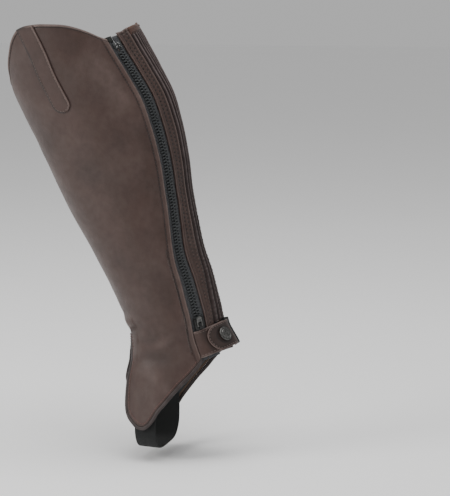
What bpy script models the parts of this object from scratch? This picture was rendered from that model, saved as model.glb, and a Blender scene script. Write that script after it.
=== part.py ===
"""Leather half chap for the left leg, as worn: a hollow tube that leans forward with the shin.

The wearer faces -Y, the outer side of the leg is +X, and its back, with the pleats and the zip, is +Y.
The origin lies on the leg's own axis, at the widest part of the calf. Sizes are in millimetres and
angles in degrees until a mesh is made, in metres. A place on the leather is given by its height along
the leaning axis, above the middle of the ankle strap, and by its angle round that axis: 0 is the back,
90 the outer side, 180 the front and 270 the inner side. Its outer face is level 0.
"""

import math
from bisect import bisect_right
from collections import namedtuple

import bmesh
import bpy
from mathutils import Matrix, Vector

METRES = 0.001
GAP = 0.3

# The leg: its lean, and where the origin lies on its axis
LEAN = 21.4
CALF_HEIGHT = 250.0

# Walls
LEATHER = 1.8
LINING = 1.0
TAPE = 1.0
ELASTIC = 1.5
TONGUE = 1.6

# Zip: its tapes, teeth, slider and pull
TAPE_WIDTH = 13.6
TAPE_PARTING = 0.5
TEETH_WIDTH = 7.4
TEETH_TOP = 0.4
ZIP_BOTTOM = -17.0
FACING_BOTTOM = -13.0
ZIP_TOP = 318.5
OUTER_TAPE_TOP = 321.5
TEETH_CHAMFER = 0.5
CHAIN_START = 2.0
BOX_LENGTH = 7.0
BOX_RISE = 0.6
BOX_SIDE = 0.4
BOX_CHAMFER = 0.6
SLIDER_HEIGHT = 20.6
SLIDER_PLATE = 1.5
SLIDER_CHAMFER = (0.8, 0.6)
FLANGE = 0.9
BRIDGE_WIDTH = 2.4
BRIDGE_BAR = 1.0
BRIDGE_SPAN = 6.2
BRIDGE_FOOT = 0.5
PULL_WIDTH = 5.6
PULL_LENGTH = 10.5
PULL_THICKNESS = 1.1
PULL_SLOT = (3.2, 3.6)
PULL_PIVOT = -2.1
PULL_PLAY = 0.4
PULL_ROUND_STEPS = 8

# Pleats
RIB_COUNT = 7
RIB_HEIGHT = 1.5
RIB_STEPS = 4
RIB_SPREAD = 0.4
PLEAT_BAND = 8.5
BAND_STAND = 2.0
BAND_STAND_SHARE = 0.25
BAND_PROUD = 0.5

# Ankle closure
STRAP_HALF_HEIGHT = 14.0
STRAP_EASE_ANGLE = 9.0
STRAP_END_LEVEL = 0.2
TAB_EASE_START = 5.0
TAB_EASE_LENGTH = 6.0
ELASTIC_HALF_HEIGHT = 15.0
ELASTIC_END_LEVEL = 2.7
STRAP_START_ANGLE = 7.0
TAB_GAP = 0.45
ELASTIC_END_ANGLE = 5.0
TAB_START_ANGLE = -0.5
TAB_LENGTH = 32.2
TAB_ROUND = 11.0
SNAP_ANGLE = 18.0
SNAP_SEAT = 0.6

# Tongue below the peak
TONGUE_ANGLE = 104.0
TONGUE_HALF_WIDTH = 9.7
TONGUE_BOTTOM = 270.0

# Binding along the flaps, and the lining above it
BINDING_WIDTH = 3.6
BINDING_THICKNESS = 2.2
BINDING_CHAMFER = 0.6
LINING_TOP = 45.0
LINING_INSET = 3.0
LINING_GAP = 0.5
LINING_BESIDE_TAPE = 2.0

# Strap under the foot
UNDERFOOT_WIDTH = 25.0
UNDERFOOT_WALL = 1.8
UNDERFOOT_LAP = 22.0
UNDERFOOT_DROP = 28.0
FLAP_TIP_ANGLE = 111.0
FLAP_TIP_HEIGHT = -59.0
FLAP_TILT = 25.0

# Rows of the long pieces: from the ankle up to just below the rim
ANKLE_ROW = 45.0
RIM_ROW = 318.0
LOW_ROWS = 6
LEG_ROWS = 12
RIM_ROWS = 3

# Sections square to the axis: half their size from back to front and from side to side, and how far
# their middle lies behind the axis
Section = namedtuple("Section", "height half_depth half_width back_shift")
SECTIONS = (
    Section(-75.0, 84.5, 50.5, -35.5),
    Section(-63.0, 82.0, 50.0, -32.0),
    Section(-36.0, 75.0, 45.0, -25.0),
    Section(-13.5, 67.0, 41.5, -18.0),
    Section(11.4, 54.0, 40.1, -8.0),
    Section(35.4, 50.8, 41.6, -1.5),
    Section(68.6, 52.4, 43.4, 0.4),
    Section(89.4, 53.4, 45.2, -0.1),
    Section(121.7, 58.0, 46.7, 0.2),
    Section(151.8, 63.1, 47.9, 0.9),
    Section(185.0, 69.9, 49.4, 2.7),
    Section(223.6, 75.0, 50.9, 4.4),
    Section(250.6, 77.2, 52.4, 4.6),
    Section(286.0, 77.0, 54.9, 0.9),
    Section(312.0, 75.9, 56.6, -1.9),
    Section(332.0, 73.5, 58.0, -2.4),
    Section(371.0, 74.0, 62.0, -5.0),
)

# Top edge: it dips at the zip and rises to the peak on the outer side
Rim = namedtuple("Rim", "angle height")
RIM = (
    Rim(-30.0, 331.0),
    Rim(0.0, 331.0),
    Rim(18.0, 329.5),
    Rim(30.0, 328.0),
    Rim(35.4, 327.0),
    Rim(40.0, 322.0),
    Rim(45.8, 324.5),
    Rim(50.0, 328.5),
    Rim(57.0, 336.7),
    Rim(65.0, 345.0),
    Rim(73.3, 352.0),
    Rim(83.8, 358.0),
    Rim(95.1, 363.3),
    Rim(106.5, 366.0),
    Rim(111.0, 365.7),
    Rim(117.0, 362.9),
    Rim(123.8, 358.0),
    Rim(132.4, 350.0),
    Rim(150.0, 335.0),
    Rim(162.0, 323.0),
    Rim(200.0, 321.0),
    Rim(300.0, 326.0),
    Rim(352.0, 331.0),
)

# Bottom edge of the leather: the outer flap, the notch at the front, then the inner flap
FlapEdge = namedtuple("FlapEdge", "angle height")
FLAP_EDGE = (
    FlapEdge(51.6, -11.4),
    FlapEdge(62.0, -19.7),
    FlapEdge(70.2, -25.4),
    FlapEdge(78.0, -30.3),
    FlapEdge(87.3, -37.7),
    FlapEdge(92.8, -42.5),
    FlapEdge(99.4, -48.2),
    FlapEdge(104.0, -54.5),
    FlapEdge(108.1, -58.4),
    FlapEdge(111.4, -59.5),
    FlapEdge(116.4, -57.2),
    FlapEdge(122.7, -50.2),
    FlapEdge(128.0, -42.9),
    FlapEdge(130.7, -35.6),
    FlapEdge(132.1, -28.1),
    FlapEdge(134.5, -15.0),
    FlapEdge(138.5, -4.0),
    FlapEdge(143.5, 7.0),
    FlapEdge(148.0, 18.0),
    FlapEdge(151.0, 26.0),
    FlapEdge(155.0, 31.5),
    FlapEdge(159.5, 28.5),
    FlapEdge(166.0, 20.0),
    FlapEdge(185.0, 3.0),
    FlapEdge(205.0, -17.0),
    FlapEdge(220.0, -34.0),
    FlapEdge(232.0, -47.0),
    FlapEdge(241.0, -56.0),
    FlapEdge(248.0, -59.5),
    FlapEdge(254.0, -57.0),
    FlapEdge(260.0, -50.0),
    FlapEdge(267.0, -43.0),
    FlapEdge(276.0, -35.0),
    FlapEdge(286.0, -28.0),
    FlapEdge(297.0, -20.5),
    FlapEdge(308.0, -15.5),
    FlapEdge(330.0, -14.5),
)

# Middle of the zip, and how wide the leather is open there
ZipLine = namedtuple("ZipLine", "height angle opening")
ZIP_LINE = (
    ZipLine(-20.0, 47.0, 15.5),
    ZipLine(10.0, 47.5, 15.5),
    ZipLine(44.0, 47.3, 15.5),
    ZipLine(62.0, 46.8, 15.0),
    ZipLine(82.0, 45.6, 14.2),
    ZipLine(104.0, 43.2, 13.2),
    ZipLine(130.0, 39.2, 13.4),
    ZipLine(150.0, 37.0, 13.4),
    ZipLine(190.0, 36.4, 13.2),
    ZipLine(230.0, 37.2, 13.2),
    ZipLine(270.0, 38.0, 13.2),
    ZipLine(305.0, 39.3, 13.0),
    ZipLine(332.0, 40.5, 13.0),
)

# Seams beside the pleats: to the main panel on the inner side, to the zip facing on the outer side
PleatSeams = namedtuple("PleatSeams", "height inner outer")
PLEAT_SEAMS = (
    PleatSeams(-20.0, -31.0, 25.0),
    PleatSeams(15.0, -31.0, 24.0),
    PleatSeams(45.0, -32.5, 21.0),
    PleatSeams(97.0, -35.0, 14.0),
    PleatSeams(156.0, -23.3, 13.0),
    PleatSeams(208.0, -22.0, 13.0),
    PleatSeams(250.0, -18.5, 15.8),
    PleatSeams(320.0, -8.4, 19.0),
    PleatSeams(331.0, -7.5, 19.5),
)

# Columns of the main panel: how many steps lead to each angle, close together at the tips and the notch
ColumnStop = namedtuple("ColumnStop", "angle steps")
PANEL_COLUMNS = (
    ColumnStop(50.0, 0),
    ColumnStop(74.0, 4),
    ColumnStop(100.0, 5),
    ColumnStop(120.0, 8),
    ColumnStop(128.0, 3),
    ColumnStop(134.0, 4),
    ColumnStop(148.0, 6),
    ColumnStop(162.0, 7),
    ColumnStop(240.0, 10),
    ColumnStop(260.0, 7),
    ColumnStop(352.0, 14),
)
OUTER_EASE_ANGLE = 92.0
INNER_EASE_ANGLE = 270.0

# Bends of the strap under the foot, as shares of its half width and of its drop below the flap's tip
Bend = namedtuple("Bend", "side drop")
UNDERFOOT_BENDS = (
    Bend(0.93, 0.55),
    Bend(0.62, 0.93),
)

# The ankle elastic stands off the leg as it bends round the back, by share of its length
ElasticRow = namedtuple("ElasticRow", "share level")
ELASTIC_FORM = (
    ElasticRow(0.0, 0.0),
    ElasticRow(0.2, 2.4),
    ElasticRow(0.42, 5.0),
    ElasticRow(0.58, 5.0),
    ElasticRow(0.82, ELASTIC_END_LEVEL),
    ElasticRow(1.0, ELASTIC_END_LEVEL - 0.2),
)

# Profile of the snap cap, turned about its middle
CapRing = namedtuple("CapRing", "radius rise")
SNAP_CAP = (
    CapRing(7.5, 0.0),
    CapRing(7.5, 0.8),
    CapRing(7.0, 1.4),
    CapRing(6.0, 1.6),
    CapRing(5.5, 1.2),
    CapRing(5.0, 1.3),
    CapRing(4.4, 2.0),
    CapRing(2.6, 2.6),
)
SNAP_SIDES = 28

# Half widths of the slider from its mouth, at the bottom, to the end where the joined teeth leave it
SliderStation = namedtuple("SliderStation", "along half_width")
SLIDER_STATIONS = (
    SliderStation(-6.0, 4.9),
    SliderStation(-4.6, 5.5),
    SliderStation(-2.0, 5.5),
    SliderStation(3.0, 5.1),
    SliderStation(5.0, 5.0),
    SliderStation(6.0, 4.7),
)

# Colour, roughness and metallic value of each finish
Finish = namedtuple("Finish", "colour roughness metallic")
FINISHES = {
    "leather": Finish((0.085, 0.058, 0.050), 0.42, 0.0),
    "pleated leather": Finish((0.050, 0.032, 0.029), 0.48, 0.0),
    "band leather": Finish((0.110, 0.045, 0.025), 0.45, 0.0),
    "black cloth": Finish((0.022, 0.023, 0.023), 0.75, 0.0),
    "black elastic": Finish((0.020, 0.021, 0.021), 0.80, 0.0),
    "zip teeth": Finish((0.025, 0.026, 0.027), 0.40, 0.0),
    "dark metal": Finish((0.130, 0.125, 0.120), 0.35, 0.9),
    "bright metal": Finish((0.600, 0.600, 0.590), 0.30, 1.0),
}

AXIS = Vector((0.0, -math.sin(math.radians(LEAN)), math.cos(math.radians(LEAN))))
BACKWARD = Vector((0.0, math.cos(math.radians(LEAN)), math.sin(math.radians(LEAN))))
SIDEWAYS = Vector((1.0, 0.0, 0.0))


def curve(rows, key, name):
    """Function that reads a named column of a table, on a smooth curve that never overshoots its rows."""
    keys = [getattr(row, key) for row in rows]
    values = [getattr(row, name) for row in rows]
    steps = [after - before for before, after in zip(keys, keys[1:])]
    rises = [(after - before) / step for before, after, step in zip(values, values[1:], steps)]
    slopes = [rises[0]]
    for low, high in zip(rises, rises[1:]):
        slopes.append(2 * low * high / (low + high) if low * high > 0 else 0.0)
    slopes.append(rises[-1])

    def value(at):
        index = min(max(bisect_right(keys, at) - 1, 0), len(steps) - 1)
        step = steps[index]
        share = min(max((at - keys[index]) / step, 0.0), 1.0)
        from_low = (1 + 2 * share) * (1 - share) ** 2 * values[index]
        from_high = share**2 * (3 - 2 * share) * values[index + 1]
        from_slopes = share * (1 - share) * ((1 - share) * slopes[index] - share * slopes[index + 1])
        return from_low + from_high + step * from_slopes

    return value


half_depth = curve(SECTIONS, "height", "half_depth")
half_width = curve(SECTIONS, "height", "half_width")
back_shift = curve(SECTIONS, "height", "back_shift")
rim_height = curve(RIM, "angle", "height")
flap_edge_height = curve(FLAP_EDGE, "angle", "height")
zip_angle = curve(ZIP_LINE, "height", "angle")
zip_opening = curve(ZIP_LINE, "height", "opening")
inner_seam_angle = curve(PLEAT_SEAMS, "height", "inner")
outer_seam_angle = curve(PLEAT_SEAMS, "height", "outer")
elastic_level = curve(ELASTIC_FORM, "share", "level")


def mix(start, end, share):
    return start + (end - start) * share


def ease(share):
    """Smooth step from 0 to 1."""
    share = min(max(share, 0.0), 1.0)
    return share * share * (3 - 2 * share)


def face_point(height, angle):
    """Point on the outer face of the leather."""
    turn = math.radians(angle)
    backward = back_shift(height) + half_depth(height) * math.cos(turn)
    sideways = half_width(height) * math.sin(turn)
    return AXIS * (height - CALF_HEIGHT) + BACKWARD * backward + SIDEWAYS * sideways


def face_directions(height, angle):
    """Unit vectors at a point of the leather: up along it, round it, and out of it."""
    along = (face_point(height + 0.5, angle) - face_point(height - 0.5, angle)).normalized()
    around = (face_point(height, angle + 0.5) - face_point(height, angle - 0.5)).normalized()
    return along, around, along.cross(around).normalized()


def leg_point(height, angle, level):
    """Point a number of millimetres outside the outer face of the leather, or inside it if negative."""
    return face_point(height, angle) + face_directions(height, angle)[2] * level


def angle_beside(height, angle, distance):
    """Angle of the place this many millimetres round the leg from another one, at the same height."""

    def arc_per_degree(at):
        turn = math.radians(at)
        radius = math.hypot(half_depth(height) * math.sin(turn), half_width(height) * math.cos(turn))
        return math.radians(radius)

    halfway = angle + distance / 2 / arc_per_degree(angle)
    return angle + distance / arc_per_degree(halfway)


def beside_zip(height, distance):
    return angle_beside(height, zip_angle(height), distance)


def zip_edge(height, side, back=0.0):
    """Angle of the leather's edge beside the zip: side 1 is the main panel, -1 the facing."""
    return beside_zip(height, side * (zip_opening(height) / 2 - back))


def shares(steps):
    return [step / steps for step in range(steps + 1)]


def leg_rows(bottom, top):
    """Heights shared by all long pieces, between a bottom and a top edge."""
    low = [mix(bottom, ANKLE_ROW, share) for share in shares(LOW_ROWS)]
    middle = [mix(ANKLE_ROW, RIM_ROW, share) for share in shares(LEG_ROWS)]
    high = [mix(RIM_ROW, top, share) for share in shares(RIM_ROWS)]
    return low + middle[1:] + high[1:]


def material(finish):
    """Principled material of a finish, made once."""
    if finish in bpy.data.materials:
        return bpy.data.materials[finish]
    values = FINISHES[finish]
    made = bpy.data.materials.new(finish)
    made.use_nodes = True
    shader = made.node_tree.nodes["Principled BSDF"]
    shader.inputs["Base Color"].default_value = (*values.colour, 1.0)
    shader.inputs["Roughness"].default_value = values.roughness
    shader.inputs["Metallic"].default_value = values.metallic
    made.diffuse_color = (*values.colour, 1.0)
    return made


def add_object(name, mesh, finish, frame=None):
    """Object from a mesh in millimetres, with its faces turned out and shaded smooth but for sharp edges."""
    bmesh.ops.recalc_face_normals(mesh, faces=mesh.faces)
    bmesh.ops.scale(mesh, vec=(METRES, METRES, METRES), verts=mesh.verts)
    data = bpy.data.meshes.new(name)
    mesh.to_mesh(data)
    mesh.free()
    data.materials.append(material(finish))
    data.shade_smooth()
    data.set_sharp_from_angle(angle=math.radians(40))
    made = bpy.data.objects.new(name, data)
    if frame is not None:
        made.matrix_world = frame
    bpy.context.collection.objects.link(made)
    return made


def add_wall(name, outer, inner, finish):
    """Closed wall between an outer and an inner grid of points; a row of equal points becomes a tip."""
    mesh = bmesh.new()
    corners = {}

    def corner(point):
        key = tuple(round(value, 5) for value in point)
        if key not in corners:
            corners[key] = mesh.verts.new(point)
        return corners[key]

    def face(*points):
        ring = []
        for vertex in map(corner, points):
            if vertex not in ring:
                ring.append(vertex)
        if len(ring) > 2:
            mesh.faces.new(ring)

    last_row = len(outer) - 1
    last_column = len(outer[0]) - 1
    for row in range(last_row):
        for column in range(last_column):
            for grid in (outer, inner):
                face(
                    grid[row][column],
                    grid[row][column + 1],
                    grid[row + 1][column + 1],
                    grid[row + 1][column],
                )
    for row in range(last_row):
        for column in (0, last_column):
            face(outer[row][column], outer[row + 1][column], inner[row + 1][column], inner[row][column])
    for column in range(last_column):
        for row in (0, last_row):
            face(outer[row][column], outer[row][column + 1], inner[row][column + 1], inner[row][column])
    return add_object(name, mesh, finish)


def add_leg_wall(name, rows, columns, place, finish):
    """Wall on the leg. For a row and a column, place gives height, angle and the levels of its two faces."""
    places = [[place(row, column) for column in columns] for row in rows]
    outer = [[leg_point(height, angle, high) for height, angle, high, _ in row] for row in places]
    inner = [[leg_point(height, angle, low) for height, angle, _, low in row] for row in places]
    return add_wall(name, outer, inner, finish)


def add_sweep(name, stations, profiles, finish, frame=None):
    """Closed bar: each station has a middle and two directions, and each profile goes round it."""
    mesh = bmesh.new()
    rings = []
    for (middle, side, out), profile in zip(stations, profiles):
        rings.append([mesh.verts.new(middle + side * across + out * up) for across, up in profile])
    for ring, following in zip(rings, rings[1:]):
        for index in range(len(ring)):
            after = (index + 1) % len(ring)
            mesh.faces.new((ring[index], ring[after], following[after], following[index]))
    mesh.faces.new(rings[0])
    mesh.faces.new(rings[-1])
    return add_object(name, mesh, finish, frame)


def box_profile(low_side, high_side, low_out, high_out, chamfer):
    """Rectangle with chamfered corners."""
    return [
        (low_side + chamfer, low_out),
        (high_side - chamfer, low_out),
        (high_side, low_out + chamfer),
        (high_side, high_out - chamfer),
        (high_side - chamfer, high_out),
        (low_side + chamfer, high_out),
        (low_side, high_out - chamfer),
        (low_side, low_out + chamfer),
    ]


def panel_columns():
    """Angles of the main panel's columns before its two long edges bend them."""
    angles = [PANEL_COLUMNS[0].angle]
    for before, stop in zip(PANEL_COLUMNS, PANEL_COLUMNS[1:]):
        angles += [mix(before.angle, stop.angle, share) for share in shares(stop.steps)[1:]]
    return angles


def panel_angle(column, height):
    """Angle of a column at a height: the first follows the zip, the last the pleats, the middle none."""
    if column < OUTER_EASE_ANGLE:
        edge = zip_edge(height, 1)
        first = PANEL_COLUMNS[0].angle
        return mix(edge, OUTER_EASE_ANGLE, (column - first) / (OUTER_EASE_ANGLE - first))
    if column > INNER_EASE_ANGLE:
        edge = angle_beside(height, 360.0 + inner_seam_angle(height), -GAP / 2)
        last = PANEL_COLUMNS[-1].angle
        return mix(INNER_EASE_ANGLE, edge, (column - INNER_EASE_ANGLE) / (last - INNER_EASE_ANGLE))
    return column


def panel_bottom(column):
    """Height of the leather's bottom edge in a column of the main panel."""
    height = 0.0
    for _ in range(4):
        height = flap_edge_height(panel_angle(column, height))
    return height


def panel_top(column):
    return rim_height(panel_angle(column, RIM_ROW))


def make_main_panel():
    columns = panel_columns()
    grid = {column: leg_rows(panel_bottom(column), panel_top(column)) for column in columns}

    def place(row, column):
        height = grid[column][row]
        return height, panel_angle(column, height), 0.0, -LEATHER

    rows = range(len(grid[columns[0]]))
    add_leg_wall("main_panel", rows, columns, place, "leather")


def flap_edge_stations():
    """Places along the leather's bottom edge: a point, the way out of the edge in the leather, and outward."""
    columns = panel_columns()
    spots = [(panel_bottom(column), panel_angle(column, panel_bottom(column))) for column in columns]
    points = [face_point(*spot) for spot in spots]
    stations = []
    for index, spot in enumerate(spots):
        before = points[max(index - 1, 0)]
        after = points[min(index + 1, len(points) - 1)]
        out = face_directions(*spot)[2]
        beyond = out.cross(after - before).normalized()
        stations.append((points[index], beyond, out))
    return stations


def make_flap_binding():
    """Binding that runs beyond the cut edge of the flaps and stands a little proud of the leather."""
    proud = BINDING_THICKNESS - LEATHER
    profile = box_profile(GAP, GAP + BINDING_WIDTH, -LEATHER, proud, BINDING_CHAMFER)
    stations = flap_edge_stations()
    add_sweep("flap_binding", stations, [profile] * len(stations), "leather")


def make_flap_lining():
    """Lining inside the flaps, from beside the zip tape to the ankle elastic."""
    clear_of_tape = beside_zip(0.0, TAPE_WIDTH + TAPE_PARTING + LINING_BESIDE_TAPE)
    level = -LEATHER - LINING_GAP
    bottoms = []
    for column, (_, beyond, _) in zip(panel_columns(), flap_edge_stations()):
        height = panel_bottom(column)
        angle = panel_angle(column, height)
        along, around, _ = face_directions(height, angle)
        raised = height - LINING_INSET * beyond.dot(along)
        bottoms.append((column, raised, angle_beside(raised, angle, -LINING_INSET * beyond.dot(around))))
    columns = [bottom for bottom in bottoms if bottom[0] > clear_of_tape][:-1]

    def place(row, bottom):
        column, height, angle = bottom
        top_angle = panel_angle(column, LINING_TOP)
        return mix(height, LINING_TOP, row), mix(angle, top_angle, row), level, level - LINING

    add_leg_wall("flap_lining", shares(LOW_ROWS), columns, place, "black cloth")


def make_peak_tongue():
    """Overlay from the rim at the peak down to a rounded end."""
    straight_end = TONGUE_BOTTOM + TONGUE_HALF_WIDTH
    heights_and_widths = []
    for share in shares(4):
        heights_and_widths.append((share, None, TONGUE_HALF_WIDTH))
    for share in shares(5)[1:]:
        turn = share * math.pi / 2
        height = straight_end - TONGUE_HALF_WIDTH * math.sin(turn)
        heights_and_widths.append((None, height, TONGUE_HALF_WIDTH * math.cos(turn)))

    def place(row, column):
        share, height, width = row
        if height is None:
            angle = angle_beside(straight_end, TONGUE_ANGLE, column * width)
            height = mix(rim_height(angle), straight_end, share)
        angle = angle_beside(height, TONGUE_ANGLE, column * width)
        return height, angle, GAP + TONGUE, GAP

    across = [2 * share - 1 for share in shares(6)]
    add_leg_wall("peak_tongue", heights_and_widths, across, place, "leather")


def make_pleated_panel():
    """Leather shirred into upright ribs: raised in the outer face, over a plain inner face."""
    across = [rib_share(share) for share in shares(RIB_COUNT * RIB_STEPS)]
    rows = range(len(leg_rows(0.0, RIM_ROW)))

    def place(row, share):
        top = rim_height(pleat_angle(RIM_ROW, share)) - PLEAT_BAND - GAP
        height = leg_rows(ELASTIC_HALF_HEIGHT + GAP, top)[row]
        swell = math.sin(math.pi * RIB_COUNT * (share + RIB_SPREAD * share * (1 - share))) ** 2
        return height, pleat_angle(height, share), -RIB_HEIGHT / 2 + RIB_HEIGHT * swell, -LEATHER

    add_leg_wall("pleated_panel", rows, across, place, "pleated leather")


def rib_share(ribs):
    """Share of the pleats' width after this share of the ribs, which widen towards the zip."""
    wide = 1 + RIB_SPREAD
    return (wide - math.sqrt(wide * wide - 4 * RIB_SPREAD * ribs)) / (2 * RIB_SPREAD)


def pleat_angle(height, share):
    """Angle of a place between the two seams of the pleats."""
    start = angle_beside(height, inner_seam_angle(height), GAP / 2)
    end = angle_beside(height, outer_seam_angle(height), -GAP / 2)
    return mix(start, end, share)


def make_pleat_top_binding():
    """Smooth band across the top of the pleats; its inner end stands a little above the rim."""

    def place(row, share):
        rim = rim_height(pleat_angle(RIM_ROW, share))
        stand = BAND_STAND * (1 - ease(share / BAND_STAND_SHARE))
        height = mix(rim - PLEAT_BAND, rim + stand, row)
        return height, pleat_angle(height, share), BAND_PROUD, -LEATHER - GAP

    add_leg_wall("pleat_top_binding", shares(2), shares(10), place, "band leather")


def facing_angle(height, share):
    """Angle of a place between the pleats and the opening of the zip."""
    start = angle_beside(height, outer_seam_angle(height), GAP / 2)
    return mix(start, zip_edge(height, -1), share)


def make_zip_facing():
    """Leather strip between the pleats and the zip."""
    rows = range(len(leg_rows(0.0, RIM_ROW)))

    def place(row, share):
        top = rim_height(facing_angle(RIM_ROW, share))
        height = leg_rows(FACING_BOTTOM, top)[row]
        return height, facing_angle(height, share), 0.0, -LEATHER

    add_leg_wall("zip_facing", rows, shares(3), place, "leather")


def make_zip_tape(name, side, top):
    """Woven tape sewn behind the leather, on one side of the teeth."""
    rows = leg_rows(ZIP_BOTTOM, top)
    level = -LEATHER - GAP

    def place(height, share):
        distance = side * mix(TAPE_PARTING, TAPE_PARTING + TAPE_WIDTH, share)
        return height, beside_zip(height, distance), level, level - TAPE

    add_leg_wall(name, rows, shares(2), place, "black cloth")


def zip_station(height):
    along, around, out = face_directions(height, zip_angle(height))
    return face_point(height, zip_angle(height)), around, out


def make_zip_chain():
    """Closed teeth, from inside the slider up to the box."""
    bottom = SLIDER_HEIGHT + CHAIN_START
    top = ZIP_TOP - BOX_LENGTH - GAP
    heights = [height for height in leg_rows(bottom, top) if height < top] + [top]
    profile = box_profile(-TEETH_WIDTH / 2, TEETH_WIDTH / 2, -LEATHER, TEETH_TOP, TEETH_CHAMFER)
    stations = [zip_station(height) for height in heights]
    add_sweep("zip_chain", stations, [profile] * len(stations), "zip teeth")


def make_zip_top_box():
    """Metal box and pin where the two tapes are joined before the zip is drawn down."""
    heights = [ZIP_TOP - BOX_LENGTH, ZIP_TOP - BOX_LENGTH / 2, ZIP_TOP]
    half = TEETH_WIDTH / 2 + BOX_SIDE
    profile = box_profile(-half, half, -LEATHER, TEETH_TOP + BOX_RISE, BOX_CHAMFER)
    stations = [zip_station(height) for height in heights]
    add_sweep("zip_top_box", stations, [profile] * len(stations), "bright metal")


def slider_frame():
    """World matrix at the slider: Y up the zip, Z out of it, so a turn about X lifts the pull."""
    height = SLIDER_HEIGHT
    along, around, out = face_directions(height, zip_angle(height))
    frame = Matrix((-around, along, out)).transposed().to_4x4()
    frame.translation = face_point(height, zip_angle(height)) * METRES
    return frame


def make_zip_slider():
    """Top plate with two flanges beside the teeth, and a bridge that holds the pull."""
    frame = slider_frame()
    under = TEETH_TOP + GAP
    top = under + SLIDER_PLATE
    chamfer_side, chamfer_out = SLIDER_CHAMFER
    stations = []
    profiles = []
    for station in SLIDER_STATIONS:
        wide = station.half_width
        narrow = max(TEETH_WIDTH / 2 + GAP, wide - FLANGE)
        stations.append((Vector((0.0, station.along, 0.0)), Vector((1, 0, 0)), Vector((0, 0, 1))))
        profiles.append(
            [
                (-wide, -LEATHER),
                (-narrow, -LEATHER),
                (-narrow, under),
                (narrow, under),
                (narrow, -LEATHER),
                (wide, -LEATHER),
                (wide, top - chamfer_out),
                (wide - chamfer_side, top),
                (chamfer_side - wide, top),
                (-wide, top - chamfer_out),
            ]
        )
    slider = add_sweep("zip_slider", stations, profiles, "dark metal", frame)

    middle = PULL_PIVOT
    half = BRIDGE_SPAN / 2
    crown = top + GAP + PULL_THICKNESS + PULL_PLAY
    foot = top - BRIDGE_FOOT
    arch = (
        (middle - half, foot),
        (middle - half, crown),
        (middle - half + BRIDGE_BAR, crown + BRIDGE_BAR),
        (middle + half - BRIDGE_BAR, crown + BRIDGE_BAR),
        (middle + half, crown),
        (middle + half, foot),
        (middle + half - BRIDGE_BAR, foot),
        (middle + half - BRIDGE_BAR, crown),
        (middle - half + BRIDGE_BAR, crown),
        (middle - half + BRIDGE_BAR, foot),
    )
    bridge_stations = [
        (Vector((side * BRIDGE_WIDTH / 2, 0.0, 0.0)), Vector((0, 1, 0)), Vector((0, 0, 1))) for side in (-1, 1)
    ]
    bridge = add_sweep("zip_slider_bridge", bridge_stations, [arch, arch], "dark metal", frame)
    bridge.hide_render = True
    bridge.display_type = "WIRE"
    union = slider.modifiers.new("Bridge", "BOOLEAN")
    union.operation = "UNION"
    union.object = bridge


def make_zip_pull():
    """Pull tab with a slot that goes round the bridge; its origin is on the hinge line."""
    frame = slider_frame()
    pivot_level = TEETH_TOP + GAP + SLIDER_PLATE + GAP + PULL_THICKNESS / 2
    frame.translation = frame @ (Vector((0.0, PULL_PIVOT, pivot_level)) * METRES)
    slot_width, slot_length = PULL_SLOT
    bar = PULL_THICKNESS / 2
    half = PULL_WIDTH / 2
    outline = [(half, -bar), (half, PULL_LENGTH - half)]
    for share in shares(PULL_ROUND_STEPS)[1:-1]:
        turn = math.pi * share
        outline.append((half * math.cos(turn), PULL_LENGTH - half + half * math.sin(turn)))
    outline += [(-half, PULL_LENGTH - half), (-half, -bar)]
    stations = [
        (Vector((0.0, 0.0, side * bar)), Vector((1, 0, 0)), Vector((0, 1, 0))) for side in (-1, 1)
    ]
    pull = add_sweep("zip_pull", stations, [outline, outline], "dark metal", frame)

    slot = [
        (-slot_width / 2, bar),
        (slot_width / 2, bar),
        (slot_width / 2, bar + slot_length),
        (-slot_width / 2, bar + slot_length),
    ]
    cut_stations = [
        (Vector((0.0, 0.0, side * 2 * bar)), Vector((1, 0, 0)), Vector((0, 1, 0))) for side in (-1, 1)
    ]
    cutter = add_sweep("zip_pull_slot", cut_stations, [slot, slot], "dark metal", frame)
    cutter.hide_render = True
    cutter.display_type = "WIRE"
    cut = pull.modifiers.new("Slot", "BOOLEAN")
    cut.operation = "DIFFERENCE"
    cut.object = cutter


def make_ankle_elastic():
    """Elastic from the inner edge of the main panel, standing off the back, to under the tab."""
    rows = [mix(-ELASTIC_HALF_HEIGHT, ELASTIC_HALF_HEIGHT, share) for share in shares(6)]

    def place(height, share):
        start = angle_beside(height, inner_seam_angle(height), GAP / 2)
        level = elastic_level(share)
        return height, mix(start, ELASTIC_END_ANGLE, share), level, level - ELASTIC

    add_leg_wall("ankle_elastic", rows, shares(14), place, "black elastic")


def make_strap_base():
    """Leather strap from the outer edge of the main panel, over the zip, to under the tab."""
    rows = [mix(-STRAP_HALF_HEIGHT, STRAP_HALF_HEIGHT, share) for share in shares(6)]

    def place(height, share):
        angle = mix(STRAP_START_ANGLE, zip_edge(height, 1, GAP), share)
        share_down = ease((angle - zip_angle(height)) / STRAP_EASE_ANGLE)
        level = mix(LEATHER + GAP, STRAP_END_LEVEL, share_down)
        return height, angle, level, level - LEATHER

    add_leg_wall("strap_base", rows, shares(12), place, "leather")


def tab_level(distance):
    """Level of the tab's inner face: on the elastic at its sewn end, then over the base strap."""
    share_down = ease((distance - TAB_EASE_START) / TAB_EASE_LENGTH)
    return mix(ELASTIC_END_LEVEL, LEATHER + GAP, share_down) + TAB_GAP


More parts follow.
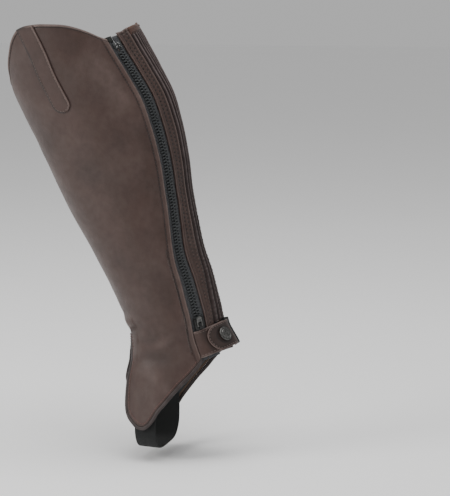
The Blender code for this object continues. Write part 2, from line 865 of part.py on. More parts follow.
def make_strap_tab():
    """Tab with a rounded end, lying over the elastic and the base strap."""
    straight = TAB_LENGTH - TAB_ROUND
    lengths = [straight * share for share in shares(6)]
    heights = [STRAP_HALF_HEIGHT] * len(lengths)
    for share in shares(6)[1:]:
        turn = share * math.pi / 2
        lengths.append(straight + TAB_ROUND * math.sin(turn))
        heights.append(STRAP_HALF_HEIGHT * math.cos(turn))

    def place(column, share):
        distance, half_height = column
        height = half_height * (2 * share - 1)
        angle = angle_beside(height, TAB_START_ANGLE, distance)
        level = tab_level(distance)
        return height, angle, level + LEATHER, level

    add_leg_wall("strap_tab", list(zip(lengths, heights)), shares(6), place, "leather")


def make_snap_cap():
    """Domed cap with a plain ring, turned about the middle of the snap."""
    along, around, out = face_directions(0.0, SNAP_ANGLE)
    level = 2 * (LEATHER + GAP) + SNAP_SEAT
    middle = leg_point(0.0, SNAP_ANGLE, level)
    mesh = bmesh.new()
    rings = []
    for ring in SNAP_CAP:
        points = []
        for side in range(SNAP_SIDES):
            turn = 2 * math.pi * side / SNAP_SIDES
            offset = around * (ring.radius * math.cos(turn)) + along * (ring.radius * math.sin(turn))
            points.append(mesh.verts.new(middle + offset + out * ring.rise))
        rings.append(points)
    for lower, upper in zip(rings, rings[1:]):
        for side in range(SNAP_SIDES):
            after = (side + 1) % SNAP_SIDES
            mesh.faces.new((lower[side], lower[after], upper[after], upper[side]))
    mesh.faces.new(rings[0])
    mesh.faces.new(rings[-1])
    add_object("snap_cap", mesh, "dark metal")


def flap_side(backward_place, world_height):
    """How far from the middle plane the leather's outer face lies, at a world Y and Z."""
    place = Vector((0.0, backward_place, world_height))
    height = place.dot(AXIS) + CALF_HEIGHT
    cosine = (place.dot(BACKWARD) - back_shift(height)) / half_depth(height)
    return half_width(height) * math.sqrt(1 - cosine * cosine)


def smooth_path(points, steps):
    """Points along a smooth curve through given points."""
    padded = [2 * points[0] - points[1], *points, 2 * points[-1] - points[-2]]
    path = [points[0]]
    for before, start, end, after in zip(padded, padded[1:], padded[2:], padded[3:]):
        for share in shares(steps)[1:]:
            slope_in = (end - before) / 2
            slope_out = (after - start) / 2
            path.append(
                start * ((1 + 2 * share) * (1 - share) ** 2)
                + end * (share**2 * (3 - 2 * share))
                + slope_in * (share * (1 - share) ** 2)
                - slope_out * (share**2 * (1 - share))
            )
    return path


def make_underfoot_strap():
    """Elastic from inside one flap's tip, down round the arch of the foot and up into the other flap."""
    tip = face_point(FLAP_TIP_HEIGHT, FLAP_TIP_ANGLE)
    inset = (LEATHER + LINING_GAP + LINING + GAP + UNDERFOOT_WALL / 2) / math.cos(math.radians(FLAP_TILT))
    outer = []
    inner = []
    for share in shares(3):
        backward = tip.y + UNDERFOOT_WIDTH * (share - 0.5)
        half = []
        for rise in (UNDERFOOT_LAP, UNDERFOOT_LAP / 2, 0.0):
            world_height = tip.z + rise
            half.append(Vector((flap_side(backward, world_height) - inset, backward, world_height)))
        side = half[-1].x
        for bend in UNDERFOOT_BENDS:
            half.append(Vector((bend.side * side, backward, tip.z - bend.drop * UNDERFOOT_DROP)))
        bottom = Vector((0.0, backward, tip.z - UNDERFOOT_DROP))
        other_half = [Vector((-point.x, point.y, point.z)) for point in reversed(half)]
        path = smooth_path([*half, bottom, *other_half], 4)
        outer_line = []
        inner_line = []
        for index, point in enumerate(path):
            run = path[min(index + 1, len(path) - 1)] - path[max(index - 1, 0)]
            out = Vector((run.z, 0.0, -run.x)).normalized()
            outer_line.append(point - out * (UNDERFOOT_WALL / 2))
            inner_line.append(point + out * (UNDERFOOT_WALL / 2))
        outer.append(outer_line)
        inner.append(inner_line)
    add_wall("underfoot_strap", outer, inner, "black elastic")


def main():
    for old in list(bpy.data.objects):
        bpy.data.objects.remove(old)
    make_main_panel()
    make_flap_binding()
    make_flap_lining()
    make_peak_tongue()
    make_pleated_panel()
    make_pleat_top_binding()
    make_zip_facing()
    make_zip_tape("zip_tape_outer", 1, OUTER_TAPE_TOP)
    make_zip_tape("zip_tape_inner", -1, ZIP_TOP)
    make_zip_chain()
    make_zip_top_box()
    make_zip_slider()
    make_zip_pull()
    make_ankle_elastic()
    make_strap_base()
    make_strap_tab()
    make_snap_cap()
    make_underfoot_strap()


main()
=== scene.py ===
"""Looks of a leather half chap for the left leg: fine leather, shirring, zip, ankle strap and stitching."""

import math
from collections import namedtuple

import bmesh
import bpy
import numpy as np
from bpy.props import FloatProperty, FloatVectorProperty, PointerProperty
from bpy.types import Operator, Panel, PropertyGroup
from mathutils import Matrix, Vector


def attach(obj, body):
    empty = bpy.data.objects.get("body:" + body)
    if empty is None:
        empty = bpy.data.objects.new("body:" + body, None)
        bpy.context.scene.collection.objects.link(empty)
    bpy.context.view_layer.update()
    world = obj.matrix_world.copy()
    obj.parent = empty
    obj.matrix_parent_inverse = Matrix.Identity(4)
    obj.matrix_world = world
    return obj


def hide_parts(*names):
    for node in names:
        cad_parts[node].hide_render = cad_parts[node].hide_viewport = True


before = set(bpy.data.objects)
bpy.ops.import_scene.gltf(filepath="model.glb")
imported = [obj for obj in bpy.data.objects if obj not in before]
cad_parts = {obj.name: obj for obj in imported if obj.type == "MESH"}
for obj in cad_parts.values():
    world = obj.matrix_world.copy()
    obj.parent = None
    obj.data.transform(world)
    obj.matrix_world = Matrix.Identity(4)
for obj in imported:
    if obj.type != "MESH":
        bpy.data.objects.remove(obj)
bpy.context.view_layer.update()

bl_info = {
    "name": "Leather Half Chap",
    "version": (1, 0, 0),
    "blender": (4, 5, 0),
    "location": "View3D > Sidebar > Half Chap",
    "description": "Models the leather, shirring, zip, strap and stitching of a half chap",
    "category": "Object",
}

METRES = 0.001
GAP = 0.3
SEAM_GAP = 0.04
SEAM_LAP = 2.2
FAR = 1000.0

# The leg: its lean, and where the origin lies on its axis
LEAN = math.radians(21.4)
CALF_HEIGHT = 250.0
AXIS = np.array((0.0, -math.sin(LEAN), math.cos(LEAN)))
BACKWARD = np.array((0.0, math.cos(LEAN), math.sin(LEAN)))
SIDEWAYS = np.array((1.0, 0.0, 0.0))


def table(columns, *rows):
    """Rows with named columns."""
    row_type = namedtuple("Row", columns)
    return [row_type(*row) for row in rows]


# Sections square to the leg's axis, in millimetres
SECTIONS = table(
    "height half_depth half_width back_shift",
    (-75.0, 84.5, 50.5, -35.5),
    (-63.0, 82.0, 50.0, -32.0),
    (-36.0, 75.0, 45.0, -25.0),
    (-13.5, 67.0, 41.5, -18.0),
    (11.4, 54.0, 40.1, -8.0),
    (35.4, 50.8, 41.6, -1.5),
    (68.6, 52.4, 43.4, 0.4),
    (89.4, 53.4, 45.2, -0.1),
    (121.7, 58.0, 46.7, 0.2),
    (151.8, 63.1, 47.9, 0.9),
    (185.0, 69.9, 49.4, 2.7),
    (223.6, 75.0, 50.9, 4.4),
    (250.6, 77.2, 52.4, 4.6),
    (286.0, 77.0, 54.9, 0.9),
    (312.0, 75.9, 56.6, -1.9),
    (332.0, 73.5, 58.0, -2.4),
    (371.0, 74.0, 62.0, -5.0),
)
RIM = table(
    "angle height",
    (-30.0, 331.0),
    (0.0, 331.0),
    (18.0, 329.5),
    (30.0, 328.0),
    (35.4, 327.0),
    (40.0, 322.0),
    (45.8, 324.5),
    (50.0, 328.5),
    (57.0, 336.7),
    (65.0, 345.0),
    (73.3, 352.0),
    (83.8, 358.0),
    (95.1, 363.3),
    (106.5, 366.0),
    (111.0, 365.7),
    (117.0, 362.9),
    (123.8, 358.0),
    (132.4, 350.0),
    (150.0, 335.0),
    (162.0, 323.0),
    (200.0, 321.0),
    (300.0, 326.0),
    (352.0, 331.0),
)
FLAP_EDGE = table(
    "angle height",
    (51.6, -11.4),
    (62.0, -19.7),
    (70.2, -25.4),
    (78.0, -30.3),
    (87.3, -37.7),
    (92.8, -42.5),
    (99.4, -48.2),
    (104.0, -54.5),
    (108.1, -58.4),
    (111.4, -59.5),
    (116.4, -57.2),
    (122.7, -50.2),
    (128.0, -42.9),
    (130.7, -35.6),
    (132.1, -28.1),
    (134.5, -15.0),
    (138.5, -4.0),
    (143.5, 7.0),
    (148.0, 18.0),
    (151.0, 26.0),
    (155.0, 31.5),
    (159.5, 28.5),
    (166.0, 20.0),
    (185.0, 3.0),
    (205.0, -17.0),
    (220.0, -34.0),
    (232.0, -47.0),
    (241.0, -56.0),
    (248.0, -59.5),
    (254.0, -57.0),
    (260.0, -50.0),
    (267.0, -43.0),
    (276.0, -35.0),
    (286.0, -28.0),
    (297.0, -20.5),
    (308.0, -15.5),
    (330.0, -14.5),
)
ZIP_LINE = table(
    "height angle opening",
    (-20.0, 47.0, 15.5),
    (10.0, 47.5, 15.5),
    (44.0, 47.3, 15.5),
    (62.0, 46.8, 15.0),
    (82.0, 45.6, 14.2),
    (104.0, 43.2, 13.2),
    (130.0, 39.2, 13.4),
    (150.0, 37.0, 13.4),
    (190.0, 36.4, 13.2),
    (230.0, 37.2, 13.2),
    (270.0, 38.0, 13.2),
    (305.0, 39.3, 13.0),
    (332.0, 40.5, 13.0),
)
PLEAT_SEAMS = table(
    "height inner outer",
    (-20.0, -31.0, 25.0),
    (15.0, -31.0, 24.0),
    (45.0, -32.5, 21.0),
    (97.0, -35.0, 14.0),
    (156.0, -23.3, 13.0),
    (208.0, -22.0, 13.0),
    (250.0, -18.5, 15.8),
    (320.0, -8.4, 19.0),
    (331.0, -7.5, 19.5),
)
PANEL_COLUMNS = table(
    "angle steps",
    (58.0, 0),
    (74.0, 7),
    (100.0, 12),
    (120.0, 14),
    (128.0, 6),
    (134.0, 6),
    (148.0, 11),
    (164.0, 13),
    (240.0, 34),
    (260.0, 13),
    (344.0, 40),
)
FIRST_COLUMN = 50.0
LAST_COLUMN = 352.0
OUTER_EASE_ANGLE = 92.0
INNER_EASE_ANGLE = 270.0

# Cross-sections of worked edges: distance from the edge, and the rise of the leather's face there
ZIP_EDGE = table(
    "distance rise",
    (0.0, -0.9),
    (0.15, -0.4),
    (0.45, 0.06),
    (0.9, 0.36),
    (1.4, 0.4),
    (2.2, 0.36),
    (3.4, 0.34),
    (4.6, 0.12),
    (5.4, -0.36),
    (6.1, -0.06),
    (7.2, 0.0),
)
FACING_EDGE = table(
    "distance rise",
    (0.0, -0.9),
    (0.15, -0.4),
    (0.45, 0.06),
    (0.9, 0.36),
    (1.4, 0.34),
    (2.0, -0.3),
    (2.6, 0.06),
    (3.7, 0.24),
    (4.8, 0.04),
    (5.4, -0.32),
    (6.1, -0.04),
    (7.2, 0.0),
)
RIM_EDGE = table(
    "distance rise",
    (0.0, -0.9),
    (0.15, -0.3),
    (0.45, 0.15),
    (0.9, 0.5),
    (1.7, 0.6),
    (2.5, 0.35),
    (3.2, -0.45),
    (4.0, -0.05),
    (5.5, 0.0),
)
SEAM_FOLD = table(
    "distance rise",
    (0.0, -0.9),
    (0.2, 0.1),
    (0.6, 0.65),
    (1.3, 0.95),
    (2.2, 0.8),
    (3.2, 0.15),
    (4.0, -0.12),
    (5.2, 0.03),
    (7.0, 0.0),
)
# The strip beside the pleats, by share of its width from the seam to the zip's edge
FACING_FORM = table(
    "distance rise",
    (0.0, -0.6),
    (0.05, -0.2),
    (0.1, 0.35),
    (0.17, 0.55),
    (0.24, 0.4),
    (0.3, -0.05),
    (0.37, -0.5),
    (0.5, -0.2),
    (0.63, -0.5),
    (0.71, -0.1),
    (0.81, 0.45),
    (0.89, 0.4),
    (1.0, 0.0),
)
# Painted light and shade across the strip: positive values are painted highlights on its crests, negative
# ones painted shade in its troughs and at the seam.
FACING_SHADE = table(
    "distance rise",
    (0.0, -1.0),
    (0.05, -0.4),
    (0.1, 0.3),
    (0.16, 0.55),
    (0.22, 0.3),
    (0.29, -0.45),
    (0.37, -0.2),
    (0.5, 0.05),
    (0.62, -0.2),
    (0.72, -0.45),
    (0.83, 0.4),
    (0.92, 0.1),
    (1.0, -0.3),
)
FACING_ROWS = (0.37, 0.63)
DIMPLE_PITCH = 4.1
DIMPLE_START = 17.0
DIMPLE_COUNT = 74
PLAIN_EDGE = table("distance rise", (0.0, -0.9), (0.15, -0.42), (0.42, -0.12), (0.95, 0.0))

# Soft creases and swellings of the leather: where, which way they run, and how long, wide and deep
FOLDS = table(
    "height angle turn length width depth",
    (3.0, 104.0, 12.0, 34.0, 6.0, -0.9),
    (15.0, 98.0, -8.0, 26.0, 5.0, 0.7),
    (-9.0, 112.0, 25.0, 30.0, 6.5, 0.8),
    (22.0, 118.0, 6.0, 30.0, 5.5, -0.8),
    (38.0, 150.0, 4.0, 40.0, 5.0, -1.0),
    (47.0, 158.0, -3.0, 46.0, 5.5, 0.8),
    (58.0, 170.0, 2.0, 38.0, 5.5, -0.7),
    (30.0, 196.0, -10.0, 34.0, 5.5, -0.9),
    (42.0, 214.0, -5.0, 30.0, 6.0, 0.6),
    (12.0, 226.0, -18.0, 36.0, 6.0, -0.8),
    (-4.0, 246.0, -12.0, 30.0, 6.5, 0.7),
    (70.0, 262.0, 8.0, 26.0, 7.0, -0.5),
    (20.0, 284.0, 10.0, 26.0, 5.5, -0.6),
    (-28.0, 92.0, 38.0, 30.0, 6.0, 0.5),
    (-38.0, 112.0, 80.0, 26.0, 6.0, -0.4),
    (205.0, 318.0, 82.0, 44.0, 6.0, -0.6),
    (150.0, 314.0, 84.0, 36.0, 5.0, 0.6),
    (236.0, 322.0, 80.0, 30.0, 5.0, 0.5),
    (110.0, 305.0, 74.0, 40.0, 6.0, -0.5),
    (272.0, 56.0, 84.0, 40.0, 5.5, 0.35),
    (120.0, 66.0, 86.0, 60.0, 7.0, 0.3),
    (60.0, 72.0, 80.0, 46.0, 8.0, -0.35),
)
SWELLS = table(
    "along_pitch around_pitch phase height",
    (97.0, 61.0, 0.4, 0.22),
    (53.0, 83.0, 2.1, 0.16),
    (31.0, 37.0, 4.0, 0.08),
)

# Painted sheen: patches where the leather is made paler, standing in for light glancing off it
SHEEN_PATCHES = table(
    "height angle tall wide strength",
    (285.0, 62.0, 45.0, 11.0, 0.30),
    (210.0, 64.0, 40.0, 12.0, 0.06),
    (48.0, 63.0, 30.0, 8.0, 0.14),
    (40.0, 128.0, 30.0, 12.0, 0.10),
    (60.0, 292.0, 34.0, 12.0, 0.10),
    (270.0, 300.0, 45.0, 14.0, 0.08),
)

# Zip
TAPE_WIDTH = 13.6
TAPE_PARTING = 0.5
TAPE_EDGE = table("distance rise", (0.0, 0.0))
TAPE_CORD = table("distance rise", (0.0, 0.0), (0.25, 0.12), (0.7, 0.2), (1.3, 0.12), (1.8, 0.0))
TAPE_END_DOWN = 5.4
TAPE_END_UP = 0.4
TAPE_END_RISE = 1.3
TAPE_END_WALL = 1.1
TEETH_WIDTH = 7.4
TEETH_TOP = 0.4
ZIP_BOTTOM = -17.0
FACING_BOTTOM = -13.0
ZIP_TOP = 318.5
ZIP_SEAM = 5.4
OUTER_TAPE_TOP = 325.5
INNER_TAPE_TOP = 325.0
BOX_LENGTH = 7.0
BOX_BAR_LENGTH = 3.0
BOX_BAR_WIDTH = 1.25
BOX_BAR_SLANT = math.radians(38)
BOX_BAR_ASIDE = 1.95
BOX_BAR_STEP = 1.55
BOX_BAR_DROP = 0.5
TOOTH_REACH = 0.9
TOOTH_SHARE = 0.46
SLIDER_HEIGHT = 20.6
SLIDER_PLATE = 1.5
SLIDER_WIDTH = 11.0
SLIDER_LENGTH = 12.0
SLIDER_TAPER = 0.86
SLIDER_REACH = 6.6
PULL_CLEARANCE = 0.25
BRIDGE_WIDTH = 2.4
BRIDGE_SPAN = 6.2
BRIDGE_BAR = 1.0
BRIDGE_POST = 1.1
BRIDGE_TAPER = 0.78
PULL_WIDTH = 5.6
PULL_LENGTH = 10.5
PULL_THICKNESS = 1.1
PULL_PIVOT = -2.1
PULL_PLAY = 0.4
PULL_ROUND = 0.42
PULL_SLOT_WIDTH = 3.7
PULL_SLOT_LENGTH = 3.6
GRIP_WIDTH = 2.6
GRIP_LENGTH = 3.0
GRIP_DEPTH = 0.28
GRIP_FROM_END = 4.0

# Shirring, ankle closure, tongue, binding and the strap under the foot
RIB_COUNT = 7
RIB_SPREAD = 0.4
PLEAT_BAND = 8.5
NEAR_RIM = 318.0
BAND_STAND = 2.0
STRAP_HALF_HEIGHT = 14.0
STRAP_EASE_LENGTH = 9.0
STRAP_SEAM = 2.4
ELASTIC_HALF_HEIGHT = 15.0
ELASTIC_END_LEVEL = 2.7
STRAP_START_ANGLE = 7.0
ELASTIC_END_ANGLE = 5.0
TAB_START_ANGLE = -0.5
TAB_LENGTH = 32.2
TAB_EASE_START = 5.0
TAB_EASE_LENGTH = 6.0
TAB_GAP = 0.45
# Painted shade over the whole tab, which lies where less light falls
TAB_SHADE = 0.42
TAB_ROUND = 11.0
TAB_SEAM = 2.0
TAB_SEWN_END = 2.4
SNAP_ANGLE = 18.0
SNAP_SEAT = 0.6
SNAP_BEADS = 24
SNAP_BEAD = 0.36
SNAP_BEAD_RING = 5.45
SNAP_BEAD_RISE = 1.2
TONGUE_ANGLE = 104.0
TONGUE_HALF_WIDTH = 9.7
TONGUE_BOTTOM = 270.0
TONGUE_SEAM = 1.9
FLAP_SEAM = 2.6
FLAP_EDGE_ENDS = (54.0, 348.0)
LINING_TOP = 45.0
LINING_INSET = 3.0
LINING_GAP = 0.5
LINING_BESIDE_TAPE = 2.0
LINING_END_COLUMN = 346.0
UNDERFOOT_WIDTH = 25.0
UNDERFOOT_LAP = 22.0
UNDERFOOT_DROP = 28.0
UNDERFOOT_BENDS = table("side drop", (0.93, 0.55), (0.62, 0.93))
FLAP_TIP_ANGLE = 111.0
FLAP_TIP_HEIGHT = -59.0
FLAP_TILT = math.radians(25.0)

# The ankle elastic stands off the leg as it bends round the back, by share of its length
ELASTIC_FORM = table(
    "share level",
    (0.0, 0.0),
    (0.2, 2.4),
    (0.42, 5.0),
    (0.58, 5.0),
    (0.82, ELASTIC_END_LEVEL),
    (1.0, ELASTIC_END_LEVEL - 0.2),
)

SNAP_PROFILE = table(
    "radius rise",
    (7.5, 0.5),
    (7.45, 1.0),
    (7.1, 1.45),
    (6.6, 1.65),
    (6.1, 1.6),
    (5.8, 1.3),
    (5.5, 1.2),
    (5.1, 1.35),
    (4.7, 1.85),
    (4.2, 2.1),
    (3.6, 2.15),
    (3.2, 2.0),
    (2.9, 2.1),
    (2.4, 2.4),
    (1.4, 2.62),
    (0.5, 2.7),
)


def mm(value):
    """A property's metres as millimetres."""
    return value / METRES


def curve(rows, key, name):
    """Function that reads a named column of a table, on a smooth curve that never overshoots its rows."""
    keys = np.array([getattr(row, key) for row in rows])
    values = np.array([getattr(row, name) for row in rows])
    rises = np.diff(values) / np.diff(keys)
    slopes = [rises[0]]
    for low, high in zip(rises, rises[1:]):
        slopes.append(2 * low * high / (low + high) if low * high > 0 else 0.0)
    slopes = np.array([*slopes, rises[-1]])

    def value(at):
        index = np.clip(np.searchsorted(keys, at, side="right") - 1, 0, len(rises) - 1)
        step = keys[index + 1] - keys[index]
        share = np.clip((at - keys[index]) / step, 0.0, 1.0)
        from_low = (1 + 2 * share) * (1 - share) ** 2 * values[index]
        from_high = share**2 * (3 - 2 * share) * values[index + 1]
        from_slopes = share * (1 - share) * ((1 - share) * slopes[index] - share * slopes[index + 1])
        return from_low + from_high + step * from_slopes

    return value


half_depth = curve(SECTIONS, "height", "half_depth")
half_width = curve(SECTIONS, "height", "half_width")
back_shift = curve(SECTIONS, "height", "back_shift")
rim_height = curve(RIM, "angle", "height")
flap_edge_height = curve(FLAP_EDGE, "angle", "height")
zip_angle = curve(ZIP_LINE, "height", "angle")
zip_opening = curve(ZIP_LINE, "height", "opening")
inner_seam_angle = curve(PLEAT_SEAMS, "height", "inner")
outer_seam_angle = curve(PLEAT_SEAMS, "height", "outer")
elastic_level = curve(ELASTIC_FORM, "share", "level")


def mix(start, end, share):
    return start + (end - start) * share


def ease(share):
    share = np.clip(share, 0.0, 1.0)
    return share * share * (3 - 2 * share)


def unit(vectors):
    return vectors / np.linalg.norm(vectors, axis=-1, keepdims=True)


def face_point(height, angle):
    """Points on the outer face of the leather, in millimetres."""
    height, angle = np.broadcast_arrays(np.asarray(height, float), np.asarray(angle, float))
    turn = np.radians(angle)
    backward = back_shift(height) + half_depth(height) * np.cos(turn)
    sideways = half_width(height) * np.sin(turn)
    up = height - CALF_HEIGHT
    return up[..., None] * AXIS + backward[..., None] * BACKWARD + sideways[..., None] * SIDEWAYS


def face_directions(height, angle):
    """Unit vectors on the leather: up along it, round it, and out of it."""
    height, angle = np.asarray(height, float), np.asarray(angle, float)
    along = unit(face_point(height + 0.5, angle) - face_point(height - 0.5, angle))
    around = unit(face_point(height, angle + 0.5) - face_point(height, angle - 0.5))
    return along, around, unit(np.cross(along, around))


def leg_point(height, angle, level):
    """Points a number of millimetres outside the outer face of the leather."""
    out = face_directions(height, angle)[2]
    return face_point(height, angle) + out * np.asarray(level, float)[..., None]


def millimetres_per_degree(height, angle):
    turn = np.radians(angle)
    return np.hypot(half_depth(height) * np.sin(turn), half_width(height) * np.cos(turn)) * math.radians(1)


def angle_beside(height, angle, distance):
    """Angle of the place this many millimetres round the leg from another one, at the same height."""
    halfway = angle + distance / 2 / millimetres_per_degree(height, angle)
    return angle + distance / millimetres_per_degree(height, halfway)


def beside(line, distance):
    """Line of angles that runs this many millimetres round the leg from another one."""
    return lambda height: angle_beside(height, line(height), distance)


def zip_edge(height, side, back=0.0):
    """Angle of the leather's edge at one side of the zip."""
    return angle_beside(height, zip_angle(height), side * (zip_opening(height) / 2 - back))


pleat_start = beside(inner_seam_angle, SEAM_GAP / 2)
pleat_end = beside(outer_seam_angle, -SEAM_GAP / 2)


def rim_between(left, right):
    """Height of the rim between two lines of angles, by the share of the way across."""
    return lambda share: rim_height(mix(left(NEAR_RIM), right(NEAR_RIM), share))


# Points across a piece: shares of its width, millimetres added to them, and distances from its two edges
Stations = namedtuple("Stations", "share offset start end")


def stations(start, middle, end):
    """Fixed distances beside the start and the end of a width, and a number of even steps between them."""
    start_steps = [row.distance for row in start]
    end_steps = [row.distance for row in end]
    shares = np.linspace(0, 1, middle + 1)[1:-1]
    first, last = start_steps[-1], end_steps[-1]
    far = np.full(len(shares), FAR)
    share = np.concatenate((np.zeros(len(start_steps)), shares, np.ones(len(end_steps))))
    offset = np.concatenate((start_steps, first * (1 - shares) - last * shares, -np.array(end_steps[::-1])))
    from_start = np.concatenate((start_steps, far, np.full(len(end_steps), FAR)))
    from_end = np.concatenate((np.full(len(start_steps), FAR), far, end_steps[::-1]))
    return Stations(share, offset, from_start, from_end)


def profile_rise(profile, distance):
    """Rise of a worked edge at these distances from it."""
    return np.interp(distance, [row.distance for row in profile], [row.rise for row in profile])


def edge_round(distance, thickness):
    """How far a wall's face sinks towards its middle, close to a rounded edge."""
    half = thickness / 2
    return half * np.interp(distance / half, (0.0, 0.16, 0.46, 1.0), (1.0, 0.46, 0.13, 0.0))


def along_edge(edge, places):
    """Values of an edge at these places, where the edge is a function or one value."""
    return edge(places) if callable(edge) else np.full(np.shape(places), edge)


def leg_grid(rows, columns, bottom, top, left, right):
    """Heights and angles of a piece between a bottom and a top edge and a left and a right one."""
    low, high = along_edge(bottom, columns.share), along_edge(top, columns.share)
    height = low + rows.share[:, None] * (high - low) + rows.offset[:, None]
    start, end = along_edge(left, height), along_edge(right, height)
    angle = angle_beside(height, start + columns.share * (end - start), columns.offset)
    return height, angle


def folds_at(height, angle):
    """Rise of the soft creases, folds and slow swells of worn leather."""
    rise = np.zeros(np.shape(height))
    for fold in FOLDS:
        around = (angle - fold.angle) * millimetres_per_degree(fold.height, fold.angle)
        along = height - fold.height
        turn = math.radians(fold.turn)
        run = around * math.cos(turn) + along * math.sin(turn)
        across = along * math.cos(turn) - around * math.sin(turn)
        across = across + 1.6 * np.sin(run / 9.0 + fold.height)
        rise += fold.depth * np.exp(-((across / fold.width) ** 2) - (run / fold.length * 1.6) ** 4)
    around = angle * 0.95
    for swell in SWELLS:
        wave = np.sin(2 * np.pi * height / swell.along_pitch + swell.phase + np.sin(around / 40))
        rise += swell.height * wave * np.sin(2 * np.pi * around / swell.around_pitch + 1.3 * swell.phase)
    return rise


def deselect_all():
    if bpy.context.object and bpy.context.object.mode != "OBJECT":
        bpy.ops.object.mode_set(mode="OBJECT")
    bpy.ops.object.select_all(action="DESELECT")


def select(*chosen):
    """These objects selected and no others, with the first one active."""
    deselect_all()
    for made in chosen:
        made.select_set(True)
    bpy.context.view_layer.objects.active = chosen[0]


def edit(made, mode):
    """Edit mode on one object, with nothing in it selected, for points or for edges."""
    select(made)
    bpy.ops.object.mode_set(mode="EDIT")
    bpy.ops.mesh.select_mode(type=mode)
    bpy.ops.mesh.select_all(action="DESELECT")
    bpy.ops.object.mode_set(mode="OBJECT")


def discard(made):
    """An object and its mesh, removed."""
    data = made.data
    bpy.data.objects.remove(made)
    bpy.data.meshes.remove(data)


def piece_from(name, vertices, faces, shade=True):
    """Object from points in millimetres and faces, at the origin."""
    data = bpy.data.meshes.new(name)
    data.from_pydata((np.asarray(vertices) * METRES).tolist(), [], faces)
    data.validate()
    if shade:
        data.shade_smooth()
    made = bpy.data.objects.new(name, data)
    bpy.context.collection.objects.link(made)
    return made


def set_values(made, name, values):
    attribute = made.data.attributes.new(name, "FLOAT", "POINT")
    attribute.data.foreach_set("value", np.asarray(values, dtype=np.float32).ravel())


def grid_faces(rows, columns, first, out):
    """Quads over a grid of points, facing out or in."""
    index = first + np.arange(rows * columns).reshape(rows, columns)
    a, b, c, d = index[:-1, :-1], index[1:, :-1], index[1:, 1:], index[:-1, 1:]
    order = (a, b, c, d) if out else (a, d, c, b)
    return np.stack(order, axis=-1).reshape(-1, 4).tolist()


def wall_object(name, outer, inner, wear):
    """Closed wall between two grids, with its wear and painted light and shade, its inside and a map of real
    distances.
    """
    rows, columns = outer.shape[:2]
    count = rows * columns
    faces = grid_faces(rows, columns, 0, True) + grid_faces(rows, columns, count, False)
    index = np.arange(count).reshape(rows, columns)
    border = [*index[0, :], *index[1:, -1], *index[-1, -2::-1], *index[-2:0:-1, 0]]
    for here, after in zip(border, border[1:] + border[:1]):
        faces.append((int(here), int(after), int(after) + count, int(here) + count))
    made = piece_from(name, np.concatenate((outer.reshape(-1, 3), inner.reshape(-1, 3))), faces)
    set_values(made, "wear", np.concatenate((wear.ravel(), wear.ravel())))
    set_values(made, "inside", np.concatenate((np.zeros(count), np.ones(count))))
    across = np.zeros((rows, columns))
    across[:, 1:] = np.cumsum(np.linalg.norm(np.diff(outer, axis=1), axis=-1), axis=1)
    along = np.zeros((rows, columns))
    along[1:, :] = np.cumsum(np.linalg.norm(np.diff(outer, axis=0), axis=-1), axis=0)
    places = np.stack((across.ravel(), along.ravel()), axis=-1) * METRES
    places = np.concatenate((places, places))
    corners = np.empty(len(made.data.loops), dtype=np.int32)
    made.data.loops.foreach_get("vertex_index", corners)
    layer = made.data.uv_layers.new(name="cloth")
    layer.data.foreach_set("uv", places[corners].astype(np.float32).ravel())
    return made


def finish(made, finish_name, nodes=(), body="chap"):
    """Material and body of a finished piece, and the nodes that it stands for."""
    made.data.materials.clear()
    made.data.materials.append(material(finish_name))
    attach(made, body)
    if nodes:
        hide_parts(*nodes)
    return made


def add_sheet(name, outer, inner, wear, finish_name, slot, held, nodes=()):
    """Finished sheet of leather or cloth."""
    made = finish(wall_object(name, outer, inner, wear), finish_name, nodes)
    return made


def add_leg_sheet(name, height, angle, rise, thickness, edge, wear, finish_name, slot, held, nodes=()):
    """Sheet on the leg: its outer face rises above level 0, and its edges are rounded."""
    sunk = edge_round(edge, thickness)
    outer = leg_point(height, angle, rise - sunk)
    inner = leg_point(height, angle, rise - thickness + sunk)
    return add_sheet(name, outer, inner, wear, finish_name, slot, held, nodes)


def nearest_edge(rows, columns):
    """Distance of each point of a grid from its nearest edge."""
    across = np.minimum(columns.start, columns.end)
    along = np.minimum(rows.start, rows.end)
    return np.minimum(along[:, None], across[None, :])


# Materials

GROOVE_SHADE = 0.15
FLESH_ROUGHNESS = 0.85
GRAIN_DEPTH = 0.00022
SCRATCH_DEPTH = 0.00004
TWIST_DEPTH = 0.00006

# Numbers of the Mix node's colour sockets, which share their names with others
MIX_FIRST = 6
MIX_SECOND = 7
MIX_RESULT = 2


